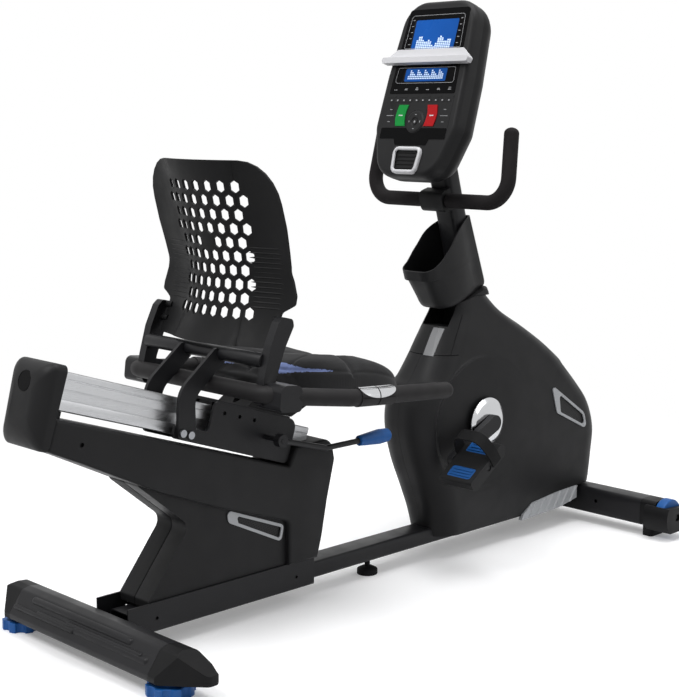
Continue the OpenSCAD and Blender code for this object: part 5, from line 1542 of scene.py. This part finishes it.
    def _cushion(self) -> None:
        """Crowned cushion with two thigh lobes."""
        base = ((0.92, 1.5), (0.965, 8.0), (0.98, 18.0))
        rings = [self._pad_ring(share, level, True) for share, level in base]
        shares = [(0.975, 0.48), (0.965, 0.63), (0.945, 0.76), (0.92, 0.85), (0.88, 0.905), (0.83, 0.935)]
        shares += [(0.76 - 0.06 * i, 0.95) for i in range(12)]
        rings += [self._pad_ring(share, level, False) for share, level in shares]
        piece = Filling().swell(Mould("seat_cushion").loft(rings).bare(), SEAT)
        self._sew(piece)
        settle(piece, [CLOTH, INSERT], "seat_pad", ["seat_pad"], 60.0)
        self.keep(piece)

    def _gusset(self, p: float, y: float) -> float:
        """Height of the blue gusset on the rim, tall at the rear with a thin tail along the side."""
        past = max(0.0, abs(y) - 88.0) + max(0.0, p - 26.0)
        tall = 5.0 * between((150.0 - past) / 40.0) + 17.0 * hump(past, 45.0)
        return tall * between((abs(y) / (self.pad_w / 2.0) - 0.12) / 0.3)

    def _sew(self, piece: bpy.types.Object) -> None:
        """Draw the sewn lines in and mark the blue gussets at the rear corners."""
        mesh = piece.data
        normals = [vert.normal.copy() for vert in mesh.vertices]
        for vert, normal in zip(mesh.vertices, normals):
            p, y, up = SEAT.local(vert.co)
            top = self._pad_top(p, y)
            if up > 0.5 * top:
                deep = 3.0 * hump(y, 4.5) + 3.0 * hump(p - self.pad_l * self.cross_seam, 4.5)
                deep += 2.5 * hump(abs(y) - 120.0 + 0.08 * p, 4.0)
                vert.co -= normal * deep * MM
            vert.co -= normal * 1.8 * MM * hump(up - self.rim_seam * top, 3.0)
        for face in mesh.polygons:
            p, y, up = SEAT.local(face.center)
            x, wide = 2.0 * p / self.pad_l - 1.0, abs(y) / (self.pad_w / 2.0)
            share = (x**4 + (wide / (1.0 - 0.1 * x)) ** 4) ** 0.25
            over = up - self.rim_seam * self._pad_top(p, y)
            tall = self._gusset(p, y)
            face.material_index = int(share > 0.84 and -0.4 * tall < over < 0.6 * tall)


@dataclass(frozen=True)
class Studio:
    """Pale floor, soft light and the camera.

    Attributes:
        eye: Camera's place in the frame's metres.
        heading: Degrees from forward to the left that the camera looks.
        pitch: Degrees that it looks down.
        focal: Focal length in pixels of the picture's height.
        height: Height of the picture in pixels.
        aim: Point that the lamps face, in the frame's metres.
    """

    eye: tuple[float, float, float] = (-2.176286, -2.20908, 1.01263)
    heading: float = 45.826
    pitch: float = 9.142
    focal: float = 1462.63
    height: float = 697.0
    aim: tuple[float, float, float] = (0.1, 0.0, 0.5)

    def build(self) -> None:
        """Make the floor, the world, the lamps and the camera."""
        self._world()
        self._floor()
        self._lamp("key_lamp", (-2.6, 0.6, 3.6), 1.8, 95.0)
        self._lamp("top_lamp", (0.4, -0.4, 4.2), 2.6, 120.0)
        self._lamp("fill_lamp", (1.6, -3.4, 2.4), 2.6, 34.0)
        self._camera()

    def _world(self) -> None:
        """Even light, seen as white by the camera and in reflections."""
        world = bpy.data.worlds.new("studio_light")
        bpy.context.scene.world = world
        world.use_nodes = True
        tree = world.node_tree
        shade = tree.nodes["Background"]
        path = tree.nodes.new("ShaderNodeLightPath")
        seen = tree.nodes.new("ShaderNodeMath")
        seen.operation = "MAXIMUM"
        through = tree.nodes.new("ShaderNodeMath")
        through.operation = "MAXIMUM"
        level = tree.nodes.new("ShaderNodeMapRange")
        level.inputs["To Min"].default_value = 0.4
        level.inputs["To Max"].default_value = 1.0
        shade.inputs["Color"].default_value = (1.0, 1.0, 1.0, 1.0)
        tree.links.new(path.outputs["Is Camera Ray"], seen.inputs[0])
        tree.links.new(path.outputs["Is Glossy Ray"], seen.inputs[1])
        tree.links.new(seen.outputs[0], through.inputs[0])
        tree.links.new(path.outputs["Is Transmission Ray"], through.inputs[1])
        tree.links.new(through.outputs[0], level.inputs["Value"])
        tree.links.new(level.outputs[0], shade.inputs["Strength"])

    def _floor(self) -> None:
        """Wide pale floor that keeps the bike's shadow."""
        bm = bmesh.new()
        bmesh.ops.create_grid(bm, x_segments=1, y_segments=1, size=14.0)
        mesh = bpy.data.meshes.new("floor")
        bm.to_mesh(mesh)
        bm.free()
        floor = bpy.data.objects.new("floor", mesh)
        bpy.context.scene.collection.objects.link(floor)
        graph = Graph("pale_floor")
        shader = graph.shader.inputs
        shader["Base Color"].default_value = (0.86, 0.86, 0.87, 1.0)
        shader["Roughness"].default_value = 0.7
        shader["Specular IOR Level"].default_value = 0.1
        shader["Emission Color"].default_value = (1.0, 1.0, 1.0, 1.0)
        path = graph.node("ShaderNodeLightPath").outputs
        seen = graph.maths("MAXIMUM", path["Is Camera Ray"], path["Is Glossy Ray"])
        seen = graph.maths("MAXIMUM", seen, path["Is Transmission Ray"])
        graph.wire(graph.maths("MULTIPLY", seen, 0.2), shader["Emission Strength"])
        far = graph.node("ShaderNodeVectorMath", {0: graph.place}, operation="LENGTH").outputs["Value"]
        fade = graph.node("ShaderNodeMapRange", {"Value": far, "From Min": 1.0, "From Max": 2.1},
                          interpolation_type="SMOOTHSTEP").outputs[0]
        white = graph.node("ShaderNodeEmission", {"Color": (1.0, 1.0, 1.0, 1.0), "Strength": seen}).outputs[0]
        near = graph.shader.outputs["BSDF"]
        blend = graph.node("ShaderNodeMixShader", {0: fade, 1: near, 2: white}).outputs[0]
        graph.wire(blend, graph.output.inputs["Surface"])
        mesh.materials.append(graph.material)

    def _lamp(self, name: str, place: tuple[float, float, float], size: float, power: float) -> None:
        """Soft square lamp that faces the bike's middle."""
        lamp = bpy.data.lights.new(name, "AREA")
        lamp.size = size
        lamp.energy = power
        made = bpy.data.objects.new(name, lamp)
        made.location = place
        ahead = Vector(self.aim) - Vector(place)
        made.rotation_euler = ahead.to_track_quat("-Z", "Y").to_euler()
        bpy.context.scene.collection.objects.link(made)

    def _camera(self) -> None:
        """Camera at the photograph's place and angle."""
        camera = bpy.data.cameras.new("camera")
        camera.sensor_fit = "VERTICAL"
        camera.sensor_height = 36.0
        camera.lens = self.focal / self.height * camera.sensor_height
        made = bpy.data.objects.new("camera", camera)
        made.location = self.eye
        made.rotation_euler = (math.radians(90.0 - self.pitch), 0.0, math.radians(self.heading - 90.0))
        bpy.context.scene.collection.objects.link(made)
        bpy.context.scene.camera = made


def main() -> None:
    """Build every group in order and report its pieces."""
    logging.basicConfig(level=logging.INFO)
    bpy.context.scene.view_settings.view_transform = "Standard"
    Studio().build()
    for group in (FloorFrame(), Tower(), Shroud(), MastGroup(), Console(), Cranks(), Seat()):
        LOG.info("%s: %d pieces", type(group).__name__, len(group.build()))


if __name__ == "__main__":
    main()
